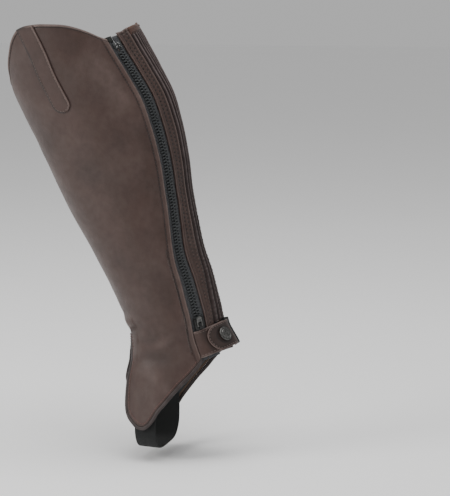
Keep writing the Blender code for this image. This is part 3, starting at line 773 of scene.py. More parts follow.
class Finish:
    """A new material with its shader, and short calls that add nodes and links to it."""

    def __init__(self, name):
        self.material = bpy.data.materials.new(name)
        self.material.use_nodes = True
        self.tree = self.material.node_tree
        self.shader = self.tree.nodes["Principled BSDF"]

    def add(self, kind, **settings):
        """Node of a kind, with its inputs or properties set."""
        node = self.tree.nodes.new(kind)
        for key, value in settings.items():
            if key in node.inputs:
                self.feed(node.inputs[key], value)
            else:
                setattr(node, key, value)
        return node

    def feed(self, socket, value):
        """A link or a constant into a socket."""
        if isinstance(value, bpy.types.NodeSocket):
            self.tree.links.new(value, socket)
        elif socket.type == "RGBA":
            socket.default_value = (*value, 1.0)
        else:
            socket.default_value = value

    def shade(self, **inputs):
        """Inputs of the shader, named with low lines for their spaces."""
        for name, value in inputs.items():
            self.feed(self.shader.inputs[name.replace("_", " ")], value)

    def place(self):
        return self.add("ShaderNodeTexCoord").outputs["Object"]

    def attribute(self, name):
        return self.add("ShaderNodeAttribute", attribute_name=name).outputs["Fac"]

    def scaled(self, source, scale):
        """Coordinates from a socket, scaled along each axis."""
        return self.add("ShaderNodeMapping", Vector=source, Scale=scale).outputs["Vector"]

    def noise(self, coordinates, scale, detail, rough=0.5):
        node = self.add(
            "ShaderNodeTexNoise", Vector=coordinates, Scale=scale, Detail=detail, Roughness=rough
        )
        return node.outputs["Fac"]

    def bands(self, coordinates, direction, scale, **settings):
        """Even waves along one direction."""
        kind = "ShaderNodeTexWave"
        node = self.add(kind, wave_type="BANDS", bands_direction=direction, Scale=scale, **settings)
        self.feed(node.inputs["Vector"], coordinates)
        return node.outputs["Fac"]

    def ramp(self, source, low, high, start=0.0, end=1.0):
        """Source mapped from one range to another, clamped."""
        node = self.add("ShaderNodeMapRange", Value=source)
        for name, value in (("From Min", low), ("From Max", high), ("To Min", start), ("To Max", end)):
            node.inputs[name].default_value = value
        return node.outputs["Result"]

    def blend(self, share, first, second):
        """Colour between two colours or sockets."""
        node = self.add("ShaderNodeMix", data_type="RGBA", Factor=share)
        self.feed(node.inputs[MIX_FIRST], first)
        self.feed(node.inputs[MIX_SECOND], second)
        return node.outputs[MIX_RESULT]

    def combine(self, operation, first, second):
        node = self.add("ShaderNodeMath", operation=operation)
        self.feed(node.inputs[0], first)
        self.feed(node.inputs[1], second)
        return node.outputs["Value"]

    def times(self, first, second):
        return self.combine("MULTIPLY", first, second)

    def plus(self, first, second):
        return self.combine("ADD", first, second)

    def bump(self, height, strength, depth):
        node = self.add("ShaderNodeBump", Height=height, Strength=strength, Distance=depth)
        self.shade(Normal=node.outputs["Normal"])


def leather_material(name, colour, dark, light, flesh, smooth, grain, gloss):
    """Smooth dyed leather: slow blotches, fine grain, paler worn edges, painted highlights on crests,
    painted shade in grooves and a matt flesh side.
    """
    make = Finish(name)
    place = make.place()
    blotch = make.ramp(make.noise(place, 26.0, 5.0, 0.6), 0.28, 0.76)
    cloud = make.ramp(make.noise(place, 140.0, 3.0), 0.3, 0.75)
    pores = make.add("ShaderNodeTexVoronoi", Vector=place, Scale=1150.0).outputs["Distance"]
    fine = make.noise(place, 2600.0, 2.0)
    body = make.blend(blotch, dark, colour)
    body = make.blend(make.times(cloud, 0.1), body, light)
    # Positive values of this attribute blend toward the pale colour, for worn edges and for painted
    # highlights and sheen; negative values blend toward a near-black groove colour, a painted shade.
    wear = make.attribute("wear")
    worn = make.times(wear, make.ramp(cloud, 0.0, 1.0, 0.6, 1.0))
    body = make.blend(worn, body, light)
    # Painted shade: a near-black copy of the dark tone for grooves, creases and sewn rows.
    groove = tuple(part * GROOVE_SHADE for part in dark)
    body = make.blend(make.times(wear, -1.0), body, groove)
    inside = make.attribute("inside")
    rough = make.ramp(make.plus(cloud, blotch), 0.0, 2.0, smooth + 0.07, smooth - 0.05)
    rough = make.combine("MAXIMUM", rough, make.times(inside, FLESH_ROUGHNESS))
    make.shade(Base_Color=make.blend(inside, body, flesh), Roughness=rough)
    relief = make.plus(make.plus(make.times(fine, 0.5), pores), make.times(cloud, 1.4))
    make.bump(relief, grain, GRAIN_DEPTH)
    make.shade(Specular_IOR_Level=gloss, Sheen_Weight=0.05, Sheen_Roughness=0.4)
    return make.material


def woven_material(name, colour, light, across, along, depth):
    """Woven cloth on the piece's own map: two sets of threads at real pitches."""
    make = Finish(name)
    cloth = make.add("ShaderNodeUVMap", uv_map="cloth").outputs["UV"]
    threads = make.scaled(cloth, (1 / across, 1 / along, 1.0))
    warp = make.bands(threads, "X", 1.0, Distortion=0.4)
    weft = make.bands(threads, "Y", 1.0, Distortion=0.4)
    weave = make.times(warp, weft)
    fuzz = make.noise(make.place(), 900.0, 3.0)
    lit = make.times(weave, make.ramp(fuzz, 0.25, 0.75, 0.5, 1.0))
    make.shade(Base_Color=make.blend(lit, colour, light), Roughness=make.ramp(fuzz, 0.2, 0.8, 0.72, 0.92))
    make.bump(make.plus(weave, make.times(fuzz, 0.4)), 0.6, depth)
    make.shade(Sheen_Weight=0.04, Specular_IOR_Level=0.25)
    return make.material


def hard_material(name, colour, worn, roughness, metallic, scale):
    """Moulded plastic or metal with small scuffs and uneven gloss."""
    make = Finish(name)
    place = make.place()
    stains = make.ramp(make.noise(place, scale, 5.0, 0.65), 0.35, 0.7)
    scratches = make.noise(make.scaled(place, (900.0, 160.0, 900.0)), 1.0, 3.0)
    rough = make.ramp(make.plus(stains, scratches), 0.3, 1.6, roughness - 0.08, roughness + 0.12)
    make.shade(Base_Color=make.blend(stains, colour, worn), Roughness=rough, Metallic=metallic)
    make.bump(scratches, 0.25, SCRATCH_DEPTH)
    return make.material


def thread_material(name, colour, light):
    """Sewing thread with a fine twist."""
    make = Finish(name)
    place = make.place()
    twist = make.bands(place, "DIAGONAL", 700.0)
    rough = make.ramp(make.noise(place, 500.0, 2.0), 0.2, 0.8, 0.5, 0.7)
    make.shade(Base_Color=make.blend(twist, colour, light), Roughness=rough)
    make.bump(twist, 0.4, TWIST_DEPTH)
    return make.material


def floor_material(name, colour):
    """Pale floor with hardly any cloud."""
    make = Finish(name)
    cloud = make.ramp(make.noise(make.place(), 3.0, 3.0), 0.2, 0.8)
    pale = tuple(min(1.0, part * 1.01) for part in colour)
    make.shade(Base_Color=make.blend(cloud, colour, pale), Roughness=make.ramp(cloud, 0.0, 1.0, 0.85, 0.95))
    return make.material


# Each finish: the function that makes it, its colours in the properties, and its values
FINISHES = {
    "smooth leather": (leather_material, "leather leather_dark leather_worn flesh", 0.43, 0.35, 0.4),
    "edge leather": (leather_material, "edge groove shirred_worn flesh", 0.5, 0.4, 0.25),
    "shirred leather": (leather_material, "shirred groove shirred_worn flesh", 0.55, 0.4, 0.2),
    "band leather": (leather_material, "band band_dark band_worn flesh", 0.42, 0.3, 0.4),
    "zip tape": (woven_material, "cloth cloth_light", 0.0007, 0.00035, 0.0001),
    "tape fold": (woven_material, "fold fold_light", 0.0007, 0.00035, 0.0001),
    "lining cloth": (woven_material, "lining lining_light", 0.0005, 0.0005, 0.0001),
    "elastic": (woven_material, "elastic elastic_light", 0.0006, 0.0012, 0.00018),
    "zip teeth": (hard_material, "teeth teeth_worn", 0.36, 0.0, 600.0),
    "dark metal": (hard_material, "dark_metal dark_metal_worn", 0.34, 0.9, 420.0),
    "black metal": (hard_material, "black_metal dark_metal", 0.42, 0.6, 420.0),
    "rubbed metal": (hard_material, "rubbed_metal dark_metal_worn", 0.36, 0.7, 300.0),
    "bright metal": (hard_material, "bright_metal bright_metal_worn", 0.26, 1.0, 500.0),
    "thread": (thread_material, "thread thread_light"),
    "dark thread": (thread_material, "dark_thread dark_thread_light"),
    "red thread": (thread_material, "red_thread red_thread_light"),
    "floor": (floor_material, "floor"),
}


def material(name):
    """Material of a finish, made once from the colours in the scene's properties."""
    if name in bpy.data.materials:
        return bpy.data.materials[name]
    make, names, *values = FINISHES[name]
    tones = bpy.context.scene.half_chap_colours
    return make(name, *(getattr(tones, tone) for tone in names.split()), *values)


# Leather, lining, elastic and tape

def panel_angle(column, height):
    """Angle of a panel column: the first follows the zip, the last the pleats, the middle ones none."""
    first_share = (column - FIRST_COLUMN) / (OUTER_EASE_ANGLE - FIRST_COLUMN)
    last_share = (column - INNER_EASE_ANGLE) / (LAST_COLUMN - INNER_EASE_ANGLE)
    seam = angle_beside(height, 360.0 + inner_seam_angle(height), -SEAM_GAP / 2)
    beside = mix(zip_edge(height, 1), OUTER_EASE_ANGLE, first_share)
    angle = np.where(column < OUTER_EASE_ANGLE, beside, column)
    return np.where(column > INNER_EASE_ANGLE, mix(INNER_EASE_ANGLE, seam, last_share), angle)


def panel_stations():
    """Columns of the main panel: angles, millimetres added, and distances from its zip edge and its seam."""
    middle = [PANEL_COLUMNS[0].angle]
    for before, stop in zip(PANEL_COLUMNS, PANEL_COLUMNS[1:]):
        middle += list(np.linspace(before.angle, stop.angle, stop.steps + 1)[1:])
    zip_steps = [row.distance for row in ZIP_EDGE]
    seam_steps = [row.distance for row in SEAM_FOLD][::-1]
    column = np.array([FIRST_COLUMN] * len(zip_steps) + middle + [LAST_COLUMN] * len(seam_steps))
    offset = np.array(zip_steps + [0.0] * len(middle) + [-step for step in seam_steps])
    from_zip = np.array(zip_steps + [FAR] * (len(middle) + len(seam_steps)))
    from_seam = np.array([FAR] * (len(middle) + len(zip_steps)) + seam_steps)
    return column, offset, from_zip, from_seam


def panel_bottom(column, offset):
    height = np.zeros(len(column))
    for _ in range(6):
        height = flap_edge_height(angle_beside(height, panel_angle(column, height), offset))
    return height


def line_at(distance, middle, width=0.5):
    """Share from 1 on a line beside an edge to 0 away from it."""
    return np.exp(-(((distance - middle) / width) ** 2))


def make_main_panel(sizes):
    """One piece of leather with the peak and the two foot flaps, its rolled rim and its worked edges."""
    column, offset, from_zip, from_seam = panel_stations()
    rows = stations(PLAIN_EDGE, 150, RIM_EDGE)
    low = panel_bottom(column, offset)
    high = rim_height(angle_beside(NEAR_RIM, panel_angle(column, NEAR_RIM), offset))
    height = low + rows.share[:, None] * (high - low) + rows.offset[:, None]
    angle = angle_beside(height, panel_angle(column, height), offset)
    rise = profile_rise(ZIP_EDGE, from_zip) + profile_rise(SEAM_FOLD, from_seam)
    rise = rise + profile_rise(RIM_EDGE, rows.end)[:, None]
    rise = rise - edge_round(rows.start, mm(sizes.leather))[:, None]
    from_end = np.minimum(rows.start, rows.end)[:, None]
    from_side = np.minimum(from_zip, from_seam)
    quiet = ease(from_end / 6.0) * ease(from_side / 8.0)
    fold = folds_at(height, angle) * sizes.fold_strength
    rise = rise + fold * quiet
    edge = np.minimum(from_side, from_end)
    inner = fold * quiet - mm(sizes.leather) + edge_round(edge, mm(sizes.leather))
    rolled = 0.9 * line_at(rows.end, 1.4, 1.5)[:, None]
    piped = 0.7 * line_at(from_seam, 1.4, 1.2)
    # Painted sheen: a paler strip beside the zip edge, stronger toward the top and wavering in strength,
    # next to a paler line along the zip edge itself.
    uneven = 0.7 + 0.3 * np.sin(height / 13.0 + 1.7 * np.sin(height / 37.0))
    strip = mix(0.18, 0.34, ease((height - 150.0) / 150.0)) * uneven
    turned = 0.85 * line_at(from_zip, 0.8, 0.8) + strip * line_at(from_zip, 3.0, 1.8)
    # Painted shade along the sewn rows below the rim, beside the zip and beside the seam.
    sewn = line_at(rows.end, 3.2)[:, None] + 0.55 * line_at(from_zip, 5.5, 0.6) + line_at(from_seam, 4.0)
    # Painted highlights on the fold crests and painted shade in the creases, plus the painted sheen patches.
    fold_shading_and_sheen = np.clip(fold * 0.3, -0.25, 0.25)
    for patch in SHEEN_PATCHES:
        tall, wide = (height - patch.height) / patch.tall, (angle - patch.angle) / patch.wide
        fold_shading_and_sheen = fold_shading_and_sheen + patch.strength * np.exp(-(tall**2) - wide**2)
    wear = np.clip(rolled + piped + turned + fold_shading_and_sheen - 0.8 * sewn, -1.0, 1.0)
    outer = leg_point(height, angle, rise)
    inside = leg_point(height, angle, inner)
    add_sheet("panel_leather", outer, inside, wear, "smooth leather", "leather", "stretched", ["main_panel"])


def rib_place(share):
    """Number of ribs before a share of the shirring's width: the ribs widen towards the zip."""
    return RIB_COUNT * (share + RIB_SPREAD * share * (1 - share))


def rib_share(place):
    """Share of the shirring's width after a number of ribs."""
    wide = 1 + RIB_SPREAD
    return (wide - np.sqrt(wide * wide - 4 * RIB_SPREAD * place / RIB_COUNT)) / (2 * RIB_SPREAD)


def rib_wander(height):
    return 0.05 * np.sin(height / 23.0) + 0.03 * np.sin(height / 8.7 + 2.0)


def make_pleats(sizes):
    """Shirred back: upright ribs with sharp grooves, and fine gathers across them lower down."""
    thickness = mm(sizes.leather)
    rows = stations(PLAIN_EDGE, 300, PLAIN_EDGE)
    columns = stations(PLAIN_EDGE, RIB_COUNT * 12, PLAIN_EDGE)
    left, right = beside(inner_seam_angle, -SEAM_LAP), beside(outer_seam_angle, SEAM_LAP)

    def top(share):
        return rim_between(left, right)(share) - PLEAT_BAND - SEAM_GAP

    height, angle = leg_grid(rows, columns, ELASTIC_HALF_HEIGHT + GAP, top, left, right)
    first, last = pleat_start(height), pleat_end(height)
    share = np.clip((angle - first) / (last - first), 0.0, 1.0)
    past = np.maximum(first - angle, angle - last) * millimetres_per_degree(height, angle)
    under = ease(past / 0.5 + 0.3)
    place = rib_place(share) + rib_wander(height) * np.sin(np.pi * share)
    crest = np.abs(np.sin(np.pi * place)) ** 0.6
    crest = np.maximum(crest, 0.5 * line_at(share, 1.0, 0.03))
    rib = np.floor(np.clip(place, 0, RIB_COUNT - 0.001))
    lower = 1 - ease((height - 110.0) / 90.0)
    slant = 2.2 * (place - rib) * np.sin(2.3 * rib + 0.7)
    strong = 0.65 + 0.35 * np.sin(height / 9.1 + 2.1 * rib)
    bent = 1.8 * np.sin(height / 7.3 + 1.7 * rib)
    gather = strong * np.sin(2 * np.pi * height / 3.5 + 1.9 * rib + bent + slant)
    gather = gather + 0.55 * np.sin(2 * np.pi * height / 5.9 + 2.7 * rib + np.sin(height / 12.7))
    slack = 0.35 * np.sin(height / 17.0 + 1.3 * rib) * (1 - lower)
    fine = gather * mm(sizes.gather_height) * lower + 0.2 * slack
    rise = mm(sizes.rib_height) * (crest - 0.6) + crest * fine
    edge = nearest_edge(rows, columns)
    sunk = edge_round(edge, thickness)
    # Painted highlights on the rib crests, fading toward the bottom, and on the crests of the gathers;
    # painted shade in the grooves between the ribs.
    high = ease((height - 120.0) / 150.0)
    lit = 0.75 * (0.35 + 0.65 * high) * crest**8 + 0.2 * crest**2 * gather * lower
    wear = np.clip(lit - 0.9 * (1 - crest) ** 1.6, -1.0, 1.0)
    rise = mix(rise, -thickness - 0.3, under)
    outer = leg_point(height, angle, rise - 0.4 * sunk)
    inner = leg_point(height, angle, np.minimum(-thickness + sunk, rise - 0.8))
    args = ("shirred leather", "pleated_leather", "gathered", ["pleated_panel"])
    add_sheet("shirred_leather", outer, inner, wear, *args)


def facing_low(height):
    """Share of the form that the facing has near the ankle: 1 at the bottom, 0 from the calf up."""
    return 1 - ease((height - 60.0) / 70.0)


def facing_row(share, height):
    """Share of the facing's width at which a sewn row lies: near the ankle the rows move to the seam."""
    return share - 0.2 * facing_low(height)


def make_facing(sizes):
    """Strip between the pleats and the zip: a piped fold, a sewn trough with dimples and a soft crest."""
    rows = stations(PLAIN_EDGE, 620, RIM_EDGE)
    columns = stations(PLAIN_EDGE, 36, FACING_EDGE)
    left = beside(outer_seam_angle, SEAM_GAP / 2)

    def right(height):
        return zip_edge(height, -1)

    height, angle = leg_grid(rows, columns, FACING_BOTTOM, rim_between(left, right), left, right)
    from_seam = ((angle - left(height)) / (right(height) - left(height))).clip(0.0, 1.0)
    form, shade = profile_rise(FACING_FORM, from_seam), profile_rise(FACING_SHADE, from_seam)
    low = facing_low(height)
    seam_shade = 0.3 * line_at(from_seam, 0.84, 0.12) - 0.7 * line_at(from_seam, 0.0, 0.12) - 0.1
    form, shade = mix(form, 0.35 * form, low), mix(shade, seam_shade, low)
    gathered = np.sin(2 * np.pi * height / 3.2 + 6.0 * from_seam) * np.sin(np.pi * from_seam) * low
    turn = 2 * np.pi * (height - DIMPLE_START) / DIMPLE_PITCH
    dimple = 0.0
    for share, way in zip(FACING_ROWS, (-1, 1)):
        dimple = dimple + way * np.cos(turn) * line_at(from_seam, facing_row(share, height), 0.05)
    above_ankle = ease((height - 22.0) / 30.0)
    # Painted shade and highlights from the table across the strip, weaker at the ankle; painted shading on
    # the gathers; painted shade in the dimples; the strip darkened a little above the ankle, a painted
    # shade.
    wear = shade * (0.4 + 0.6 * above_ankle) + 0.1 * gathered - 0.4 * dimple - 0.1 * above_ankle
    rise = (form + 0.06 * gathered - 0.22 * dimple) * above_ankle + profile_rise(FACING_EDGE, columns.end)
    rise = rise + profile_rise(RIM_EDGE, rows.end)[:, None]
    rise = rise - edge_round(rows.start, mm(sizes.leather))[:, None]
    rise = rise - edge_round(columns.start, mm(sizes.leather))
    edge = nearest_edge(rows, columns)
    inner = edge_round(edge, mm(sizes.leather)) - mm(sizes.leather)
    rolled = 0.6 * line_at(rows.end, 1.4, 1.3)[:, None]
    # Paler line on the piped zip edge, with painted shade in the groove beside it.
    piping = 0.5 * line_at(columns.end, 1.0, 0.9) - 0.5 * line_at(columns.end, 2.0)
    wear = np.clip(wear + piping + rolled, -1.0, 1.0)
    add_sheet(
        "facing_leather",
        leg_point(height, angle, rise),
        leg_point(height, angle, np.minimum(inner, rise - 0.9)),
        wear,
        "smooth leather",
        "leather",
        "stretched",
        ["zip_facing"],
    )


def make_pleat_band(sizes):
    """Smooth reddish band across the top of the pleats, folded over the rim."""
    rows = stations(PLAIN_EDGE, 8, RIM_EDGE)
    columns = stations(PLAIN_EDGE, 24, PLAIN_EDGE)
    rim = rim_between(pleat_start, pleat_end)

    def bottom(share):
        return rim(share) - PLEAT_BAND

    def top(share):
        return rim(share) + BAND_STAND * (1 - ease(share * 4))

    height, angle = leg_grid(rows, columns, bottom, top, pleat_start, pleat_end)
    edge = nearest_edge(rows, columns)
    rise = 0.5 + 0.25 * profile_rise(RIM_EDGE, rows.end)[:, None] + 0.12 * np.sin(height / 1.6 + angle / 5.0)
    wear = np.broadcast_to(0.5 * line_at(rows.end, 1.2, 1.4)[:, None], height.shape)
    thickness = mm(sizes.leather) + 0.8
    args = (rise, thickness, edge, wear, "band leather", "band_leather", "folded", ["pleat_top_binding"])
    add_leg_sheet("band_leather", height, angle, *args)


def round_ended(length, half_width, round_length, steps, side_steps):
    """Distances along and across a tab whose far end is rounded, and from its outline."""
    straight = length - round_length
    fine = np.array([0.0, 0.15, 0.45, 0.95])
    runs = np.concatenate((fine, np.linspace(fine[-1], straight, steps)[1:]))
    turns = np.linspace(0, np.pi / 2, 15)[1:]
    along = np.concatenate((runs, straight + round_length * np.sin(turns)))
    halves = np.concatenate((np.full(len(runs), half_width), half_width * np.maximum(np.cos(turns), 0.004)))
    near = 1 - fine / half_width
    inside = np.linspace(-near[-1], near[-1], side_steps + 1)[1:-1]
    across_share = np.concatenate((-near, inside, near[::-1]))
    along_grid = np.broadcast_to(along[:, None], (len(along), len(across_share)))
    across_grid = halves[:, None] * across_share
    past = np.clip(along_grid - straight, 0, None) / round_length
    from_round = (1 - np.hypot(past, across_grid / half_width)) * min(half_width, round_length)
    outline = np.where(past > 0, from_round, half_width - np.abs(across_grid))
    return along_grid, across_grid, np.clip(np.minimum(outline, along_grid), 0.0, None)


def make_tongue(sizes):
    """Sewn tongue below the peak, with a rounded end and worked edges."""
    straight_end = TONGUE_BOTTOM + TONGUE_HALF_WIDTH
    top = float(rim_height(TONGUE_ANGLE))
    length = top - TONGUE_BOTTOM
    along, across, edge = round_ended(length, TONGUE_HALF_WIDTH, TONGUE_HALF_WIDTH, 44, 12)
    rim = rim_height(angle_beside(straight_end, TONGUE_ANGLE, across))
    share = np.clip((top - along - straight_end) / (top - straight_end), 0.0, 1.0)
    height = np.where(share > 0, mix(straight_end, rim, share), top - along)
    angle = angle_beside(height, TONGUE_ANGLE, across)
    thickness = mm(sizes.tongue)
    dent = -0.16 * line_at(edge, TONGUE_SEAM)
    rise = GAP + thickness + dent + folds_at(height, angle) * sizes.fold_strength
    side = across / TONGUE_HALF_WIDTH
    # Painted highlight on the cut edge that faces the light, painted shade on the other edge and along the
    # sewn row.
    lit = line_at(edge, 1.0, 0.75) * np.clip(-side, 0.0, 1.0)
    shaded = line_at(edge, 0.3, 1.0) * ease(side + 0.5)
    wear = np.clip(lit - shaded - 0.3 * line_at(edge, 2.1), -1.0, 1.0)
    height, angle, rise, edge, wear = (values[::-1] for values in (height, angle, rise, edge, wear))
    args = (rise, thickness, edge, wear, "smooth leather", "leather", "laid", ["peak_tongue"])
    add_leg_sheet("tongue_leather", height, angle, *args)


FlapEdge = namedtuple("FlapEdge", "points beyond out height angle column")


def flap_edge_line():
    """The cut edge of the flaps: points, ways beyond it and out of it, heights, angles and columns."""
    column, offset, _, _ = panel_stations()
    column = np.unique(np.concatenate((column[offset == 0.0], FLAP_EDGE_ENDS)))
    height = panel_bottom(column, np.zeros(len(column)))
    angle = panel_angle(column, height)
    points = face_point(height, angle)
    out = face_directions(height, angle)[2]
    run = np.gradient(points, axis=0)
    return FlapEdge(points, unit(np.cross(out, run)), out, height, angle, column)


def inside_flap_edge(line, inset):
    """Heights and angles of a line that runs inside the flaps' cut edge."""
    along, around, _ = face_directions(line.height, line.angle)
    height = line.height - inset * np.sum(line.beyond * along, axis=1)
    angle = angle_beside(height, line.angle, -inset * np.sum(line.beyond * around, axis=1))
    return height, angle


def add_tube(name, middles, sides, outs, profile, finish_name, slot, nodes, wear):
    """Closed bar with a profile of side and out distances swept along points."""
    count, around = len(middles), len(profile)
    ring = np.array(profile)
    points = middles[:, None] + sides[:, None] * ring[None, :, :1] + outs[:, None] * ring[None, :, 1:]
    faces = []
    for station in range(count - 1):
        for index in range(around):
            after = (index + 1) % around
            low, high = station * around, (station + 1) * around
            faces.append((low + index, low + after, high + after, high + index))
    faces.append(tuple(range(around))[::-1])
    faces.append(tuple(range((count - 1) * around, count * around)))
    made = piece_from(name, points.reshape(-1, 3), faces)
    set_values(made, "wear", np.tile(wear, count))
    set_values(made, "inside", np.zeros(count * around))
    turn_outward(made)
    return finish(made, finish_name, nodes)


def turn_outward(made):
    """All faces of a closed mesh pointing out."""
    mesh = bmesh.new()
    mesh.from_mesh(made.data)
    bmesh.ops.recalc_face_normals(mesh, faces=mesh.faces)
    mesh.to_mesh(made.data)
    mesh.free()


def rounded_profile(low_side, high_side, low_out, high_out, radius, steps=3):
    """Rectangle with round corners, as side and out distances."""
    corners = (
        (high_side - radius, low_out + radius, -0.5),
        (high_side - radius, high_out - radius, 0.0),
        (low_side + radius, high_out - radius, 0.5),
        (low_side + radius, low_out + radius, 1.0),
    )
    points = []
    for side, out, start in corners:
        for step in range(steps + 1):
            turn = math.pi * (start + 0.5 * step / steps)
            points.append((side + radius * math.cos(turn), out + radius * math.sin(turn)))
    return points


# Painted sheen: the whole rolled band is lifted a little toward the pale highlight colour, for the light it
# catches.
BINDING_SHEEN = 0.1


def make_flap_edges(sizes):
    """Rolled leather band beyond the cut edge of the flaps, and the black lining inside them."""
    line = flap_edge_line()
    leather = mm(sizes.leather)
    profile = rounded_profile(0.02, GAP + mm(sizes.binding_width), -leather, 0.4, 1.0)
    wear = np.array([BINDING_SHEEN] * len(profile))
    args = (profile, "edge leather", "leather", ["flap_binding"], wear)
    add_tube("binding_leather", line.points, line.beyond, line.out, *args)

    height, angle = inside_flap_edge(line, LINING_INSET)
    first = beside(zip_angle, TAPE_WIDTH + TAPE_PARTING + LINING_BESIDE_TAPE)(0.0)
    keep = (line.column > first) & (line.column < LINING_END_COLUMN)
    low, low_angle, kept = height[keep], angle[keep], line.column[keep]
    share = np.linspace(0, 1, 26)[:, None]
    rows = mix(low, LINING_TOP, share)
    angles = mix(low_angle, panel_angle(kept, np.full(len(kept), LINING_TOP)), share)
    level = -leather - LINING_GAP - 0.08 - 0.1 * np.sin(rows / 5.0 + angles / 3.0) ** 2
    args = (level, mm(sizes.lining), np.full(rows.shape, FAR), np.zeros(rows.shape))
    look = ("lining cloth", "black_cloth", "laid", ["flap_lining"])
    add_leg_sheet("lining_cloth", rows, angles, *args, *look)


def make_tape(sizes, name, side, top):
    """Woven zip tape with a corded edge beside the teeth."""
    rows = stations(TAPE_EDGE, 130, TAPE_EDGE)
    columns = stations(TAPE_CORD, 10, TAPE_EDGE)
    columns = columns._replace(offset=columns.offset * side)
    left = beside(zip_angle, side * TAPE_PARTING)
    right = beside(zip_angle, side * (TAPE_PARTING + TAPE_WIDTH))
    height, angle = leg_grid(rows, columns, ZIP_BOTTOM, top, left, right)
    cord = np.broadcast_to(profile_rise(TAPE_CORD, columns.start), height.shape)
    rise = -mm(sizes.leather) - GAP + cord
    if side < 0:
        height, angle, rise = (values[:, ::-1] for values in (height, angle, rise))
    args = (rise, mm(sizes.tape), np.full(height.shape, FAR), np.zeros(height.shape))
    look = ("zip tape", "black_cloth", "stretched", [name])
    add_leg_sheet(name + "_cloth", height, angle, *args, *look)


def make_tape_end(sizes):
    """Folded end of the outer tape at the top of the zip, in a darker copy of the tape cloth, a painted
    shade.
    """
    rows = stations(PLAIN_EDGE, 5, PLAIN_EDGE)
    columns = stations(PLAIN_EDGE, 6, PLAIN_EDGE)
    left = beside(zip_angle, TAPE_PARTING + 0.2)

    def right(height):
        return zip_edge(height, 1, -2.0)

    bottom, top = OUTER_TAPE_TOP - TAPE_END_DOWN, OUTER_TAPE_TOP + TAPE_END_UP
    height, angle = leg_grid(rows, columns, bottom, top, left, right)
    under_leather = ease((angle - zip_edge(height, 1, 0.8)) / 0.8)
    level = -mm(sizes.leather) - GAP + TAPE_END_RISE
    rise = level + 0.1 - under_leather * TAPE_END_RISE
    args = (rise, TAPE_END_WALL, nearest_edge(rows, columns), np.zeros(height.shape))
    add_leg_sheet("tape_end_fold", height, angle, *args, "tape fold", "black_cloth", None)


def make_tapes(sizes):
    """The two tapes of the zip, and the folded end of the outer one."""
    make_tape(sizes, "zip_tape_outer", 1, OUTER_TAPE_TOP)
    make_tape(sizes, "zip_tape_inner", -1, INNER_TAPE_TOP)
    make_tape_end(sizes)


def make_ankle_elastic(sizes):
    """Ribbed black elastic from the panel to under the tab."""
    rows = stations(PLAIN_EDGE, 80, PLAIN_EDGE)
    columns = stations(PLAIN_EDGE, 40, PLAIN_EDGE)
    ends = beside(inner_seam_angle, GAP / 2), ELASTIC_END_ANGLE
    height, angle = leg_grid(rows, columns, -ELASTIC_HALF_HEIGHT, ELASTIC_HALF_HEIGHT, *ends)
    rise = elastic_level(columns.share) + 0.07 * np.cos(2 * np.pi * height / 1.5)
    args = (rise, mm(sizes.elastic), nearest_edge(rows, columns), np.zeros(height.shape))
    look = ("elastic", "black_elastic", "stretched", ["ankle_elastic"])
    add_leg_sheet("ankle_elastic_cloth", height, angle, *args, *look)


def tab_level(distance, leather):
    """Level of the tab's inner face: on the elastic at its sewn end, then over the strap."""
    share_down = ease((distance - TAB_EASE_START) / TAB_EASE_LENGTH)
    return mix(ELASTIC_END_LEVEL, leather + GAP, share_down) + TAB_GAP


def along_from_tab(height, angle):
    """Distance of places on the strap from the tab's rounded end."""
    end = angle_beside(height, TAB_START_ANGLE, TAB_LENGTH)
    return (angle - end) * millimetres_per_degree(height, angle)


def strap_level(height, angle, leather):
    """Level of the strap's outer face: raised over the zip, and near the panel's face beyond it."""
    return mix(leather + GAP, 0.2, ease((angle - zip_angle(height)) / STRAP_EASE_LENGTH))


def make_strap_base(sizes):
    """Leather strap from the panel across the zip."""
    leather = mm(sizes.leather)
    rows = stations(PLAIN_EDGE, 18, PLAIN_EDGE)
    columns = stations(PLAIN_EDGE, 36, PLAIN_EDGE)

    def right(height):
        return zip_edge(height, 1, GAP)

    low, high = -STRAP_HALF_HEIGHT, STRAP_HALF_HEIGHT
    height, angle = leg_grid(rows, columns, low, high, STRAP_START_ANGLE, right)
    edge = nearest_edge(rows, columns)
    beside = np.minimum(rows.start, rows.end)[:, None]
    dent = -0.14 * line_at(beside, STRAP_SEAM)
    crease = 0.2 * line_at(angle, 36.0, 5.0) * ease((height + 14.0) / 20.0)
    rise = strap_level(height, angle, leather) + dent - crease
    # Painted shadow on the strap under the end of the tab, and painted shade along the sewn rows; the edges
    # are paler.
    tab_shadow = 0.5 * line_at(along_from_tab(height, angle), 0.0, 3.5)
    wear = np.clip(line_at(beside, 0.2, 0.9) - 0.5 * line_at(beside, STRAP_SEAM) - tab_shadow, -1.0, 1.0)
    args = (rise, leather, edge, wear, "smooth leather", "leather", "laid", ["strap_base"])
    add_leg_sheet("strap_leather", height, angle, *args)


